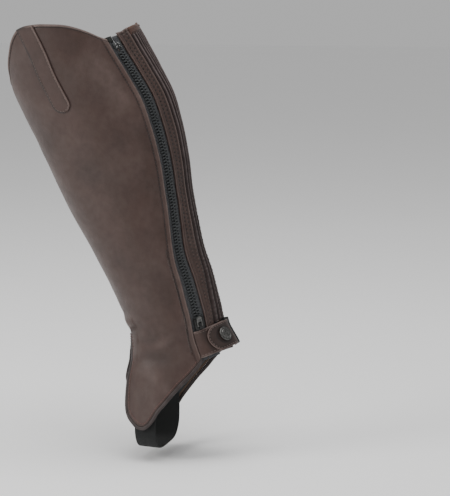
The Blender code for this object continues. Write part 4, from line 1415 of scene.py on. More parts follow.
def make_tab(sizes):
    """Leather tab with a rounded end that closes over the strap."""
    leather = mm(sizes.leather)
    along, across, edge = round_ended(TAB_LENGTH, STRAP_HALF_HEIGHT, TAB_ROUND, 28, 20)
    angle = angle_beside(across, np.full(across.shape, TAB_START_ANGLE), along)
    level = tab_level(along, leather)
    dent = -0.16 * line_at(edge, TAB_SEAM)
    from_snap = np.hypot((angle - SNAP_ANGLE) * millimetres_per_degree(0.0, SNAP_ANGLE), across)
    pressed = -0.3 * line_at(from_snap, 8.2, 1.6)
    rise = level + leather + dent + pressed
    # Painted shade in the ring pressed round the snap and along the sewn row, with paler edges; the whole
    # tab is darkened by the painted shade of TAB_SHADE.
    ring = 0.45 * line_at(from_snap, 8.4, 1.4)
    wear = np.clip(line_at(edge, 0.2, 0.9) - 0.6 * line_at(edge, TAB_SEAM) - ring - TAB_SHADE, -1.0, 1.0)
    args = (rise.T, leather, edge.T, wear.T, "smooth leather", "leather", "laid", ["strap_tab"])
    add_leg_sheet("tab_leather", across.T, angle.T, *args)


def make_strap(sizes):
    """The strap and its tab."""
    make_strap_base(sizes)
    make_tab(sizes)


def flap_side(backward_place, world_height):
    """How far from the middle plane the leather's outer face lies, at a world Y and Z."""
    place = np.array((0.0, backward_place, world_height))
    height = float(place @ AXIS) + CALF_HEIGHT
    cosine = (float(place @ BACKWARD) - back_shift(height)) / half_depth(height)
    return half_width(height) * math.sqrt(1 - cosine * cosine)


def smooth_path(points, steps):
    """Points along a smooth curve through given points."""
    padded = [2 * points[0] - points[1], *points, 2 * points[-1] - points[-2]]
    path = [points[0]]
    for before, start, end, after in zip(padded, padded[1:], padded[2:], padded[3:]):
        for share in np.linspace(0, 1, steps + 1)[1:]:
            path.append(
                start * ((1 + 2 * share) * (1 - share) ** 2)
                + end * (share**2 * (3 - 2 * share))
                + (end - before) / 2 * (share * (1 - share) ** 2)
                - (after - start) / 2 * (share**2 * (1 - share))
            )
    return np.array(path)


def make_underfoot_strap(sizes):
    """Elastic from inside one flap's tip, under the arch of the foot and up into the other flap."""
    wall = mm(sizes.underfoot)
    tip = face_point(FLAP_TIP_HEIGHT, FLAP_TIP_ANGLE)
    clear = mm(sizes.leather) + LINING_GAP + mm(sizes.lining) + GAP + wall / 2
    inset = clear / math.cos(FLAP_TILT)
    outer, inner = [], []
    shares = (0.0, 0.006, 0.02, 0.04, *np.linspace(0.08, 0.92, 16), 0.96, 0.98, 0.994, 1.0)
    for share in shares:
        backward = tip[1] + UNDERFOOT_WIDTH * (share - 0.5)
        half = []
        for rise in (UNDERFOOT_LAP, UNDERFOOT_LAP / 2, 0.0):
            world_height = tip[2] + rise
            half.append(np.array((flap_side(backward, world_height) - inset, backward, world_height)))
        side = half[-1][0]
        for bend in UNDERFOOT_BENDS:
            half.append(np.array((bend.side * side, backward, tip[2] - bend.drop * UNDERFOOT_DROP)))
        bottom = np.array((0.0, backward, tip[2] - UNDERFOOT_DROP))
        other = [point * np.array((-1.0, 1.0, 1.0)) for point in reversed(half)]
        path = smooth_path([*half, bottom, *other], 12)
        run = np.gradient(path, axis=0)
        out = unit(np.stack((-run[:, 2], np.zeros(len(run)), run[:, 0]), axis=-1))
        thin = float(edge_round(min(share, 1 - share) * UNDERFOOT_WIDTH, wall))
        rib = 0.05 * math.cos(2 * math.pi * share * 16)
        outer.append(path + out * (wall / 2 - thin + rib))
        inner.append(path - out * (wall / 2 - thin))
    outer, inner = np.array(outer), np.array(inner)
    made = wall_object("underfoot_elastic", outer, inner, np.zeros(outer.shape[:2]))
    turn_outward(made)
    finish(made, "elastic", ["underfoot_strap"])


# Stitching

def primitive_points(made):
    """Points and faces of a small object that is copied many times, which is then removed."""
    points = np.array([vertex.co[:] for vertex in made.data.vertices])
    faces = [tuple(face.vertices) for face in made.data.polygons]
    discard(made)
    return points, faces


def stitch_shape(length, thread):
    """One stitch: a slim bead of thread, in millimetres, along Y."""
    deselect_all()
    bpy.ops.mesh.primitive_uv_sphere_add(segments=6, ring_count=5, radius=1.0)
    made = bpy.context.object
    bpy.ops.object.mode_set(mode="EDIT")
    bpy.ops.mesh.select_all(action="SELECT")
    bpy.ops.transform.rotate(value=math.pi / 2, orient_axis="X", center_override=(0, 0, 0))
    bpy.ops.transform.resize(value=(thread / 2, length / 2, thread / 2), center_override=(0, 0, 0))
    bpy.ops.object.mode_set(mode="OBJECT")
    return primitive_points(made)


def copies(name, shape, middles, sides, alongs, outs, shade=True):
    """One mesh that holds a copy of a shape at each place: X to the side, Y along and Z out."""
    points, faces = shape
    count = len(points)
    placed = (
        middles[:, None]
        + sides[:, None] * points[None, :, :1]
        + alongs[:, None] * points[None, :, 1:2]
        + outs[:, None] * points[None, :, 2:]
    )
    every = []
    for index in range(len(middles)):
        every += [tuple(corner + index * count for corner in face) for face in faces]
    made = piece_from(name, placed.reshape(-1, 3), every, shade)
    turn_outward(made)
    return made


def walk(points, pitch):
    """Even places along a line of points: how far along, as fractions of its points."""
    lengths = np.concatenate(([0], np.cumsum(np.linalg.norm(np.diff(points, axis=0), axis=1))))
    number = max(2, int(lengths[-1] / pitch))
    at = (np.arange(number) + 0.5) * lengths[-1] / number
    return np.interp(at, lengths, np.arange(len(points)))


def sample(values, at):
    """Values of a line of points at fractions of its points."""
    low = np.floor(at).astype(int)
    high = np.minimum(low + 1, len(values) - 1)
    part = (at - low)[:, None] if values.ndim > 1 else at - low
    return values[low] * (1 - part) + values[high] * part


def add_stitches(name, lines, sizes, finish_name="thread", length=None, thick=None, places=None):
    """Rows of stitches along lines of heights, angles and levels, evenly or at given points of the lines."""
    shape = stitch_shape(length or mm(sizes.stitch_length), thick or mm(sizes.thread))
    middles, sides, alongs, outs = [], [], [], []
    for height, angle, level in lines:
        height, angle, level = np.broadcast_arrays(height, angle, level)
        points = leg_point(height, angle, level)
        out = face_directions(height, angle)[2]
        at = walk(points, mm(sizes.stitch_pitch)) if places is None else places
        place, up = sample(points, at), unit(sample(out, at))
        run = unit(sample(np.gradient(points, axis=0), at))
        side = unit(np.cross(run, up))
        middles.append(place)
        sides.append(side)
        alongs.append(run)
        outs.append(np.cross(side, run))
    gathered = [np.concatenate(parts) for parts in (middles, sides, alongs, outs)]
    made = copies(name, shape, *gathered)
    return finish(made, finish_name)


ROW_STEPS = 200


def row_heights(low, high):
    """Heights along an upright row of stitches."""
    return mix(low, high, np.linspace(0, 1, ROW_STEPS))


def stitch_panel(sizes):
    """Row beside the zip on the main panel."""
    height = row_heights(13.0, 319.0)
    row = (height, angle_beside(height, zip_edge(height, 1), ZIP_SEAM), -0.12)
    add_stitches("panel_zip_stitches", [row], sizes, "dark thread", 2.2, 1.0)


def stitch_facing(sizes):
    """Row beside the zip on the facing, and its two rows whose stitches draw in the dimples."""
    height = row_heights(17.0, 321.0)
    row = (height, angle_beside(height, zip_edge(height, -1), -2.0), -0.1)
    add_stitches("facing_zip_stitches", [row], sizes, "dark thread")
    rows = []
    for share, shift in zip(FACING_ROWS, (0.0, -0.5)):
        height = DIMPLE_START + row_heights(0.0, DIMPLE_COUNT * DIMPLE_PITCH) + shift * DIMPLE_PITCH
        start = angle_beside(height, outer_seam_angle(height), GAP / 2)
        angle = mix(start, zip_edge(height, -1), facing_row(share, height))
        rows.append((height, angle, mix(-0.55, -0.25, facing_low(height))))
    places = (np.arange(DIMPLE_COUNT) + 0.5) * (ROW_STEPS - 1) / DIMPLE_COUNT
    add_stitches("facing_stitches", rows, sizes, "dark thread", 1.6, 1.1, places)


def stitch_rim(sizes):
    """Rows below the rim of the panel and along the band across the pleats."""
    column = np.concatenate((np.linspace(57.0, 345.0, 240), [LAST_COLUMN - 2.0]))
    around = panel_angle(column, np.full(len(column), NEAR_RIM))
    rim_row = (rim_height(around) - 3.2, around, -0.08)
    across = mix(pleat_start(320.0), pleat_end(320.0), np.linspace(0.03, 0.97, 30))
    band_row = (rim_height(across) - PLEAT_BAND + 1.6, across, 0.62)
    add_stitches("rim_stitches", [rim_row, band_row], sizes, "dark thread")


def stitch_flaps(sizes):
    """Row inside the rolled edge of the flaps."""
    height, angle = inside_flap_edge(flap_edge_line(), FLAP_SEAM)
    add_stitches("flap_stitches", [(height[1:-1], angle[1:-1], 0.05)], sizes, "red thread", 2.6, 0.9)


def stitch_tongue(sizes):
    """Row down one side of the tongue, round its end and up the other."""
    half = TONGUE_HALF_WIDTH - TONGUE_SEAM
    turns = np.linspace(0, np.pi, 40)
    bottom = TONGUE_BOTTOM + TONGUE_HALF_WIDTH
    down = mix(rim_height(TONGUE_ANGLE) - 4.5, bottom, np.linspace(0, 1, 60))
    heights = np.concatenate((down, bottom - half * np.sin(turns), down[::-1]))
    sides = np.concatenate((np.full(60, half), half * np.cos(turns), np.full(60, -half)))
    angles = angle_beside(heights, np.full(len(heights), TONGUE_ANGLE), sides)
    level = GAP + mm(sizes.tongue) - 0.08
    add_stitches("tongue_stitches", [(heights, angles, level)], sizes)


def stitch_tab(sizes):
    """Row round the tab, closed across its sewn end."""
    leather = mm(sizes.leather)
    straight = TAB_LENGTH - TAB_ROUND
    turns = np.linspace(-np.pi / 2, np.pi / 2, 40)
    reach, half = TAB_ROUND - TAB_SEAM, STRAP_HALF_HEIGHT - TAB_SEAM
    run = np.linspace(TAB_SEWN_END, straight, 30)
    closing = np.linspace(half, -half, 20)
    along = np.concatenate((run, straight + reach * np.cos(turns), run[::-1], np.full(20, TAB_SEWN_END)))
    across = np.concatenate((np.full(30, -half), half * np.sin(turns), np.full(30, half), closing))
    angles = angle_beside(across, np.full(len(across), TAB_START_ANGLE), along)
    level = tab_level(along, leather) + leather - 0.08
    add_stitches("tab_stitches", [(across, angles, level)], sizes)


def stitch_strap(sizes):
    """Rows beside the two long edges of the strap."""
    angle = np.linspace(30.0, float(zip_edge(0.0, 1, 2.0)), 40)
    rows = []
    for side in (-1, 1):
        height = np.full(len(angle), side * (STRAP_HALF_HEIGHT - STRAP_SEAM))
        rows.append((height, angle, strap_level(height, angle, mm(sizes.leather)) - 0.06))
    add_stitches("strap_stitches", rows, sizes)


def stitch_shirring(sizes):
    """Rows in the grooves between the ribs."""
    height = row_heights(ELASTIC_HALF_HEIGHT + 3.0, 319.0)
    level = 0.12 - 0.6 * mm(sizes.rib_height)
    rows = []
    for rib in range(1, RIB_COUNT):
        wander = rib_wander(height) * math.sin(math.pi * rib_share(rib))
        share = rib_share(rib - wander)
        rows.append((height, mix(pleat_start(height), pleat_end(height), share), level))
    add_stitches("shirring_stitches", rows, sizes, "dark thread", 1.8, 1.0)


def make_stitching(sizes):
    """All the rows of stitches."""
    stitch_panel(sizes)
    stitch_facing(sizes)
    stitch_rim(sizes)
    stitch_flaps(sizes)
    stitch_tongue(sizes)
    stitch_tab(sizes)
    stitch_strap(sizes)
    stitch_shirring(sizes)


# Hard pieces: zip teeth, box, slider, pull and snap

HARD_EDGE = math.radians(35)
TOOTH_EDGE = math.radians(30)
SMOOTH_ANGLE = math.radians(38)


def new_block(width, length, low, high, bevel=0.0):
    """Block in millimetres about the origin, with its edges bevelled in edit mode."""
    deselect_all()
    bpy.ops.mesh.primitive_cube_add(size=1.0, location=(0, 0, 0))
    made = bpy.context.object
    bpy.ops.object.mode_set(mode="EDIT")
    bpy.ops.mesh.select_all(action="SELECT")
    bpy.ops.transform.resize(value=(width, length, high - low), center_override=(0, 0, 0))
    bpy.ops.transform.translate(value=(0, 0, (high + low) / 2))
    if bevel:
        bpy.ops.mesh.bevel(offset=bevel, segments=2, affect="EDGES")
    bpy.ops.object.mode_set(mode="OBJECT")
    return made


def pull_points(made, chosen, scale):
    """Points of a block that pass a test, scaled in edit mode about the origin."""
    edit(made, "VERT")
    for vertex in made.data.vertices:
        vertex.select = chosen(vertex.co)
    bpy.ops.object.mode_set(mode="EDIT")
    bpy.ops.transform.resize(value=scale, center_override=(0, 0, 0))
    bpy.ops.object.mode_set(mode="OBJECT")


def apply_boolean(made, other, operation):
    """Boolean with another object, which is then removed."""
    select(made)
    change = made.modifiers.new("Change", "BOOLEAN")
    change.operation = operation
    change.object = other
    bpy.ops.object.modifier_apply(modifier=change.name)
    discard(other)


def apply_bevel(made, width, angle=HARD_EDGE):
    """Soft edges on a finished hard shape."""
    select(made)
    soften = made.modifiers.new("Soften", "BEVEL")
    soften.width = width
    soften.segments = 2
    soften.limit_method = "ANGLE"
    soften.angle_limit = angle
    bpy.ops.object.modifier_apply(modifier=soften.name)


def place_hard(made, name, matrix, finish_name, nodes, body="chap"):
    """Hard piece from millimetres about the origin into its place on the part, shaded smooth."""
    made.name = name
    made.data.name = name
    made.data.transform(matrix @ Matrix.Scale(METRES, 4))
    select(made)
    bpy.ops.object.shade_smooth_by_angle(angle=SMOOTH_ANGLE)
    return finish(made, finish_name, nodes, body)


def zip_frame(height):
    """World matrix on the zip's middle: X across it, Y up along it, Z out."""
    along, around, out = (Vector(part) for part in face_directions(height, zip_angle(height)))
    matrix = Matrix((-around, along, out)).transposed().to_4x4()
    matrix.translation = Vector(face_point(height, zip_angle(height))) * METRES
    return matrix


def make_teeth(sizes):
    """Two rows of moulded teeth that mesh along the middle of the zip."""
    pitch = mm(sizes.tooth_pitch)
    half = TEETH_WIDTH / 2
    tooth = new_block(half + TOOTH_REACH, pitch * TOOTH_SHARE, -mm(sizes.leather) - 0.1, TEETH_TOP)
    pull_points(tooth, lambda place: place.z > 0 and place.x > 0, (0.9, 0.72, 1.0))
    apply_bevel(tooth, 0.28, TOOTH_EDGE)
    shape = primitive_points(tooth)
    low, high = SLIDER_HEIGHT + SLIDER_REACH, ZIP_TOP - BOX_LENGTH - GAP - pitch * 0.5
    for name, side, shift in (("teeth_outer", 1, 0.0), ("teeth_inner", -1, 0.5)):
        number = int((high - low) / pitch)
        heights = low + (np.arange(number) + shift) * pitch
        heights = heights[heights < high]
        angles = zip_angle(heights)
        along, around, out = face_directions(heights, angles)
        middles = face_point(heights, angles) + around * (side * (half - TOOTH_REACH) / 2)
        made = copies(name, shape, middles, -around * side, along * side, out, shade=False)
        select(made)
        bpy.ops.object.shade_smooth_by_angle(angle=TOOTH_EDGE)
        finish(made, "zip teeth", ["zip_chain"] if side == 1 else ())


def make_top_box(sizes):
    """Metal box and pin at the top of the zip, with slanting ribs pressed in."""
    base = new_block(TEETH_WIDTH + 0.6, BOX_LENGTH - 0.4, -mm(sizes.leather), TEETH_TOP - 0.5, 0.3)
    matrix = zip_frame(ZIP_TOP - BOX_LENGTH / 2)
    place_hard(base, "box_base", matrix, "zip teeth", ["zip_top_box"])
    bars = []
    for side in (-1, 1):
        for step in (-1, 1):
            bar = new_block(BOX_BAR_LENGTH, BOX_BAR_WIDTH, TEETH_TOP - 0.6, TEETH_TOP + 0.7, 0.3)
            turn = Matrix.Rotation(-BOX_BAR_SLANT * side, 4, "Z")
            middle = (side * BOX_BAR_ASIDE, step * BOX_BAR_STEP - BOX_BAR_DROP, 0.0)
            bar.data.transform(Matrix.Translation(middle) @ turn)
            bars.append(bar)
    select(*bars)
    bpy.ops.object.join()
    place_hard(bars[0], "box_metal", matrix, "bright metal", ())


def make_slider(sizes):
    """Slider: a tapered body with a channel for the teeth, flanges and an arched bridge."""
    under = TEETH_TOP + GAP
    plate = under + SLIDER_PLATE
    top = plate - PULL_CLEARANCE
    body = new_block(SLIDER_WIDTH, SLIDER_LENGTH, -mm(sizes.leather), top)
    pull_points(body, lambda place: place.y < 0, (SLIDER_TAPER, 1.0, 1.0))
    channel = new_block(TEETH_WIDTH + 2 * GAP, SLIDER_LENGTH + 2.0, -mm(sizes.leather) - 1.0, under)
    apply_boolean(body, channel, "DIFFERENCE")
    at_pivot = Matrix.Translation((0.0, PULL_PIVOT, 0.0))
    bridge_under = plate + GAP + PULL_THICKNESS + PULL_PLAY
    bridge = new_block(BRIDGE_WIDTH, BRIDGE_SPAN, top - 0.4, bridge_under + BRIDGE_BAR)
    pull_points(bridge, lambda place: place.z > plate, (1.0, BRIDGE_TAPER, 1.0))
    bridge.data.transform(at_pivot)
    window = new_block(BRIDGE_WIDTH + 2.0, BRIDGE_SPAN - 2 * BRIDGE_POST, top, bridge_under)
    window.data.transform(at_pivot)
    apply_boolean(bridge, window, "DIFFERENCE")
    apply_boolean(body, bridge, "UNION")
    apply_bevel(body, 0.32)
    place_hard(body, "slider_body", zip_frame(SLIDER_HEIGHT), "black metal", ["zip_slider"])


def make_pull(_sizes):
    """Pull tab with a slot round the bridge, a pressed grip and a rounded end."""
    half = PULL_THICKNESS / 2
    level = TEETH_TOP + GAP + SLIDER_PLATE + GAP + half
    tab = new_block(PULL_WIDTH, PULL_LENGTH, -half, half)
    tab.data.transform(Matrix.Translation((0.0, PULL_LENGTH / 2 - half, 0.0)))
    edit(tab, "EDGE")
    for edge in tab.data.edges:
        ends = [tab.data.vertices[index].co for index in edge.vertices]
        edge.select = all(end.y > 1 for end in ends) and abs(ends[0].z - ends[1].z) > half
    bpy.ops.object.mode_set(mode="EDIT")
    bpy.ops.mesh.bevel(offset=PULL_WIDTH * PULL_ROUND, segments=6, affect="EDGES")
    bpy.ops.object.mode_set(mode="OBJECT")
    slot = new_block(PULL_SLOT_WIDTH, PULL_SLOT_LENGTH, -2.0, 2.0)
    slot.data.transform(Matrix.Translation((0.0, half + PULL_SLOT_LENGTH / 2, 0.0)))
    apply_boolean(tab, slot, "DIFFERENCE")
    grip = new_block(GRIP_WIDTH, GRIP_LENGTH, half - GRIP_DEPTH, 2.0)
    grip.data.transform(Matrix.Translation((0.0, PULL_LENGTH - GRIP_FROM_END, 0.0)))
    apply_boolean(tab, grip, "DIFFERENCE")
    apply_bevel(tab, 0.18)
    matrix = zip_frame(SLIDER_HEIGHT) @ Matrix.Translation((0.0, PULL_PIVOT * METRES, level * METRES))
    place_hard(tab, "pull_tab", matrix, "rubbed metal", ["zip_pull"], "pull")


def make_snap_dome(matrix):
    """Domed cap with plain rings, drawn up ring by ring."""
    deselect_all()
    first = SNAP_PROFILE[0]
    bpy.ops.mesh.primitive_circle_add(vertices=64, radius=first.radius, fill_type="NGON", location=(0, 0, 0))
    cap = bpy.context.object
    bpy.ops.object.mode_set(mode="EDIT")
    bpy.ops.mesh.select_all(action="SELECT")
    bpy.ops.mesh.extrude_region_move(TRANSFORM_OT_translate={"value": (0, 0, first.rise)})
    for before, ring in zip(SNAP_PROFILE, SNAP_PROFILE[1:]):
        bpy.ops.mesh.extrude_region_move(TRANSFORM_OT_translate={"value": (0, 0, ring.rise - before.rise)})
        share = ring.radius / before.radius
        bpy.ops.transform.resize(value=(share, share, 1.0), center_override=(0, 0, ring.rise))
    bpy.ops.object.mode_set(mode="OBJECT")
    turn_outward(cap)
    place_hard(cap, "snap_dome", matrix, "dark metal", ["snap_cap"])


def make_snap_beads(matrix):
    """Ring of small beads on the cap."""
    deselect_all()
    bpy.ops.mesh.primitive_ico_sphere_add(subdivisions=2, radius=SNAP_BEAD)
    shape = primitive_points(bpy.context.object)
    turns = 2 * np.pi * np.arange(SNAP_BEADS) / SNAP_BEADS
    rise = np.full(SNAP_BEADS, SNAP_BEAD_RISE)
    middles = np.stack((SNAP_BEAD_RING * np.cos(turns), SNAP_BEAD_RING * np.sin(turns), rise), axis=-1)
    ways = [np.tile(way, (SNAP_BEADS, 1)) for way in np.eye(3)]
    beads = copies("snap_beads", shape, middles, *ways)
    beads.data.transform(matrix)
    finish(beads, "dark metal")


def make_snap(sizes):
    """Cap of the snap fastener with its beads, on the tab."""
    along, around, out = (Vector(part) for part in face_directions(0.0, SNAP_ANGLE))
    matrix = Matrix((around, along, out)).transposed().to_4x4()
    level = 2 * (mm(sizes.leather) + GAP) + SNAP_SEAT
    matrix.translation = Vector(leg_point(0.0, SNAP_ANGLE, level)) * METRES
    make_snap_dome(matrix)
    make_snap_beads(matrix)


# Stage: the size of the photograph in pixels, and the pixel of the part's origin

PHOTO_WIDTH = 450
PHOTO_HEIGHT = 496
ORIGIN_PIXEL = (102.7, 121.8)
SENSOR = 36.0
FLOOR_SIZE = 24.0

# Lights: metres toward the camera, to its right and up, the height that they face, size, power and colour
LIGHTS = table(
    "name toward right up facing size power colour",
    ("front_box", 0.9, -1.8, 0.6, 0.0, 0.9, "key_power", (1.0, 0.99, 0.97)),
    ("back_box", 0.7, 1.6, 0.5, -0.1, 1.1, "fill_power", (0.97, 0.98, 1.0)),
    ("top_box", 0.4, 0.0, 1.9, 0.0, 1.6, "top_power", (1.0, 1.0, 1.0)),
)


def add_light(light, place, power):
    """Soft square light at a place, turned toward the part."""
    data = bpy.data.lights.new(light.name, "AREA")
    data.shape = "SQUARE"
    data.size = light.size
    data.energy = power
    data.color = light.colour
    made = bpy.data.objects.new(light.name, data)
    made.location = place
    made.rotation_euler = (Vector((0, 0, light.facing)) - place).to_track_quat("-Z", "Y").to_euler()
    bpy.context.collection.objects.link(made)


def make_floor(stage):
    """Pale floor below the part."""
    deselect_all()
    bpy.ops.mesh.primitive_plane_add(size=FLOOR_SIZE, location=(0, 0, stage.floor_height))
    floor = bpy.context.object
    floor.data.transform(floor.matrix_world)
    floor.matrix_world = Matrix()
    floor.name = "floor"
    floor.data.materials.append(material("floor"))


def view_directions(stage):
    """Ways from the part toward the camera and to the right of the view."""
    azimuth, elevation = stage.azimuth, stage.elevation
    toward = Vector((
        math.sin(azimuth) * math.cos(elevation),
        -math.cos(azimuth) * math.cos(elevation),
        math.sin(elevation),
    ))
    return toward, Vector((math.cos(azimuth), math.sin(azimuth), 0.0))


def make_camera(stage):
    """Camera at the viewing angle of the photograph, with the origin at the same pixel."""
    toward, right = view_directions(stage)
    up = toward.cross(right)
    middle_x, middle_y = PHOTO_WIDTH / 2, PHOTO_HEIGHT / 2
    pixel = stage.pixel_size
    target = right * ((middle_x - ORIGIN_PIXEL[0]) * pixel) - up * ((middle_y - ORIGIN_PIXEL[1]) * pixel)
    data = bpy.data.cameras.new("camera")
    data.sensor_fit = "VERTICAL"
    data.sensor_height = SENSOR
    data.lens = SENSOR * stage.distance / (PHOTO_HEIGHT * pixel)
    camera = bpy.data.objects.new("camera", data)
    camera.matrix_world = Matrix.Translation(target + toward * stage.distance) @ Matrix(
        (right, up, toward)
    ).transposed().to_4x4()
    bpy.context.collection.objects.link(camera)
    bpy.context.scene.camera = camera


def make_lights(stage):
    """Soft studio boxes at the front, the back and the top, and pale surroundings."""
    toward, right = view_directions(stage)
    for light in LIGHTS:
        place = toward * light.toward + right * light.right + Vector((0, 0, light.up))
        add_light(light, place, getattr(stage, light.power))
    world = bpy.context.scene.world or bpy.data.worlds.new("world")
    bpy.context.scene.world = world
    world.use_nodes = True
    background = world.node_tree.nodes["Background"]
    background.inputs["Color"].default_value = (1.0, 1.0, 1.0, 1.0)
    background.inputs["Strength"].default_value = stage.world_strength


def make_stage(stage):
    """Floor, camera and light."""
    make_floor(stage)
    make_camera(stage)
    make_lights(stage)


# Settings that a user would change, and the steps of the panel


def length(name, description, default):
    return FloatProperty(
        name=name, description=description, default=default, subtype="DISTANCE", unit="LENGTH"
    )


def power(name, description, default):
    return FloatProperty(name=name, description=description, default=default, unit="POWER")


def rotation(name, description, degrees):
    return FloatProperty(
        name=name, description=description, default=math.radians(degrees), subtype="ANGLE"
    )


def colour(name, description, default):
    return FloatVectorProperty(
        name=name, description=description, default=default, subtype="COLOR", size=3, min=0.0, max=1.0
    )


class HalfChapSizes(PropertyGroup):
    """Sizes that a maker would change."""

    leather: length("Leather", "Thickness of the main leather", 0.0018)
    tongue: length("Tongue", "Thickness of the sewn tongue", 0.0016)
    lining: length("Lining", "Thickness of the flap lining", 0.001)
    tape: length("Tape", "Thickness of the zip tape", 0.001)
    elastic: length("Elastic", "Thickness of the ankle elastic", 0.0015)
    underfoot: length("Underfoot", "Thickness of the elastic under the foot", 0.0018)
    binding_width: length("Binding", "Width of the band along the flaps", 0.0036)
    rib_height: length("Rib", "Height of the shirred ribs", 0.0019)
    gather_height: length("Gather", "Height of the fine gathers across the ribs", 0.00026)
    fold_strength: FloatProperty(
        name="Folds",
        description="Strength of the soft creases",
        default=1.0,
        min=0.0,
        max=3.0,
        subtype="FACTOR",
    )
    stitch_pitch: length("Stitch pitch", "Distance from stitch to stitch", 0.0032)
    stitch_length: length("Stitch length", "Length of a stitch that shows", 0.0022)
    thread: length("Thread", "Thickness of the sewing thread", 0.0008)
    tooth_pitch: length("Tooth pitch", "Distance between the teeth of one side", 0.0031)


class HalfChapColours(PropertyGroup):
    """Colours of the finishes."""

    leather: colour("Leather", "Smooth leather", (0.047, 0.0235, 0.0175))
    leather_dark: colour("Leather shade", "Darker cloud in the leather", (0.033, 0.0175, 0.0138))
    # Pale colour that the leather blends toward, for its worn edges and for the painted highlights and sheen
    # on crests, folds and edges
    leather_worn: colour("Leather wear", "Worn edges and creases", (0.155, 0.112, 0.100))
    flesh: colour("Flesh side", "Matt inside of the leather", (0.085, 0.055, 0.040))
    # Darker than the panel leather: partly the leather's own tone, partly painted shade for the back, where
    # less light falls
    shirred: colour("Shirred leather", "Ribs of the shirring", (0.027, 0.0165, 0.0152))
    groove: colour("Groove", "Grooves of the shirring", (0.012, 0.0065, 0.006))
    # Painted highlight colour: the lit crests of the ribs, and the sheen on the rolled band along the flaps
    shirred_worn: colour("Rib wear", "Worn crests of the ribs", (0.170, 0.132, 0.128))
    # Painted sheen: greyer than the panel leather, for the light that the rolled band catches
    edge: colour("Edge leather", "Rolled edge of the flaps", (0.026, 0.022, 0.021))
    band: colour("Band", "Band across the top of the pleats", (0.062, 0.028, 0.019))
    band_dark: colour("Band shade", "Darker cloud in the band", (0.042, 0.017, 0.012))
    band_worn: colour("Band wear", "Worn edge of the band", (0.150, 0.080, 0.055))
    cloth: colour("Tape", "Zip tape", (0.044, 0.045, 0.048))
    cloth_light: colour("Tape threads", "Lit threads of the tape", (0.125, 0.127, 0.132))
    lining: colour("Lining", "Cloth inside the flaps", (0.026, 0.028, 0.029))
    lining_light: colour("Lining threads", "Lit threads of the lining", (0.070, 0.072, 0.076))
    # Painted shade: a darker copy of the tape cloth, for the shade between the folded end and the leather
    fold: colour("Tape end", "Folded end of the tape", (0.014, 0.015, 0.014))
    fold_light: colour("Tape end threads", "Lit threads of the folded end", (0.045, 0.047, 0.043))
    elastic: colour("Elastic", "Elastic webbing", (0.008, 0.0085, 0.0085))
    elastic_light: colour("Elastic threads", "Lit threads of the elastic", (0.024, 0.0255, 0.0255))
    teeth: colour("Teeth", "Moulded zip teeth", (0.018, 0.020, 0.021))
    teeth_worn: colour("Teeth wear", "Scuffs on the teeth", (0.045, 0.049, 0.050))
    dark_metal: colour("Dark metal", "Snap cap", (0.038, 0.0375, 0.036))
    dark_metal_worn: colour("Dark metal wear", "Rubbed metal", (0.165, 0.162, 0.155))
    rubbed_metal: colour("Rubbed metal", "Pull tab", (0.080, 0.081, 0.079))
    black_metal: colour("Black metal", "Slider", (0.012, 0.012, 0.012))
    bright_metal: colour("Bright metal", "Box at the top of the zip", (0.120, 0.120, 0.118))
    bright_metal_worn: colour("Bright metal wear", "Rubbed bright metal", (0.420, 0.420, 0.412))
    thread: colour("Thread", "Sewing thread", (0.062, 0.042, 0.036))
    thread_light: colour("Thread light", "Lit strands of the thread", (0.150, 0.108, 0.094))
    dark_thread: colour("Dark thread", "Thread beside the zip and in the shirring", (0.006, 0.004, 0.004))
    dark_thread_light: colour("Dark thread light", "Lit strands of the dark thread", (0.020, 0.014, 0.013))
    red_thread: colour("Red thread", "Reddish thread beside the flaps' edge", (0.070, 0.028, 0.024))
    red_thread_light: colour("Red thread light", "Lit strands of the reddish thread", (0.130, 0.060, 0.052))
    floor: colour("Floor", "Pale floor", (0.96, 0.96, 0.96))


class HalfChapStage(PropertyGroup):
    """Camera and light."""

    azimuth: rotation("Azimuth", "Camera's turn round the part", 105)
    elevation: rotation("Elevation", "Camera's angle above the horizon", 8)
    distance: length("Distance", "Camera's distance from the part", 2.0)
    pixel_size: length("Pixel size", "Real size of a photo pixel at the part", 0.00104)
    floor_height: length("Floor", "Height of the floor below the origin", -0.350)
    key_power: power("Front light", "Power of the front light", 26.0)
    fill_power: power("Back light", "Power of the back light", 1.0)
    top_power: power("Top light", "Power of the top light", 40.0)
    world_strength: FloatProperty(
        name="World", description="Strength of the white surroundings", default=0.5
    )


class Step:
    """What all the steps share."""

    bl_options = {"REGISTER", "UNDO"}


def run_step(make, settings, *names):
    """Runs a step, and raises an error if it left one of its objects out."""
    make(settings)
    missing = [name for name in names if name not in bpy.data.objects]
    if missing:
        raise RuntimeError("The step did not make " + ", ".join(missing))
    return {"FINISHED"}


class HALFCHAP_OT_main_panel(Step, Operator):
    """Model the leather panel with its peak, foot flaps and worked edges."""

    bl_idname = "half_chap.main_panel"
    bl_label = "Main Panel"

    def execute(self, context):
        return run_step(make_main_panel, context.scene.half_chap, "panel_leather")


class HALFCHAP_OT_pleats(Step, Operator):
    """Model the shirred back panel with its ribs and gathers."""

    bl_idname = "half_chap.pleats"
    bl_label = "Shirred Back"

    def execute(self, context):
        return run_step(make_pleats, context.scene.half_chap, "shirred_leather")


class HALFCHAP_OT_facing(Step, Operator):
    """Model the strip between the shirring and the zip."""

    bl_idname = "half_chap.facing"
    bl_label = "Zip Facing"

    def execute(self, context):
        return run_step(make_facing, context.scene.half_chap, "facing_leather")


class HALFCHAP_OT_pleat_band(Step, Operator):
    """Model the band across the top of the shirring."""

    bl_idname = "half_chap.pleat_band"
    bl_label = "Top Band"

    def execute(self, context):
        return run_step(make_pleat_band, context.scene.half_chap, "band_leather")


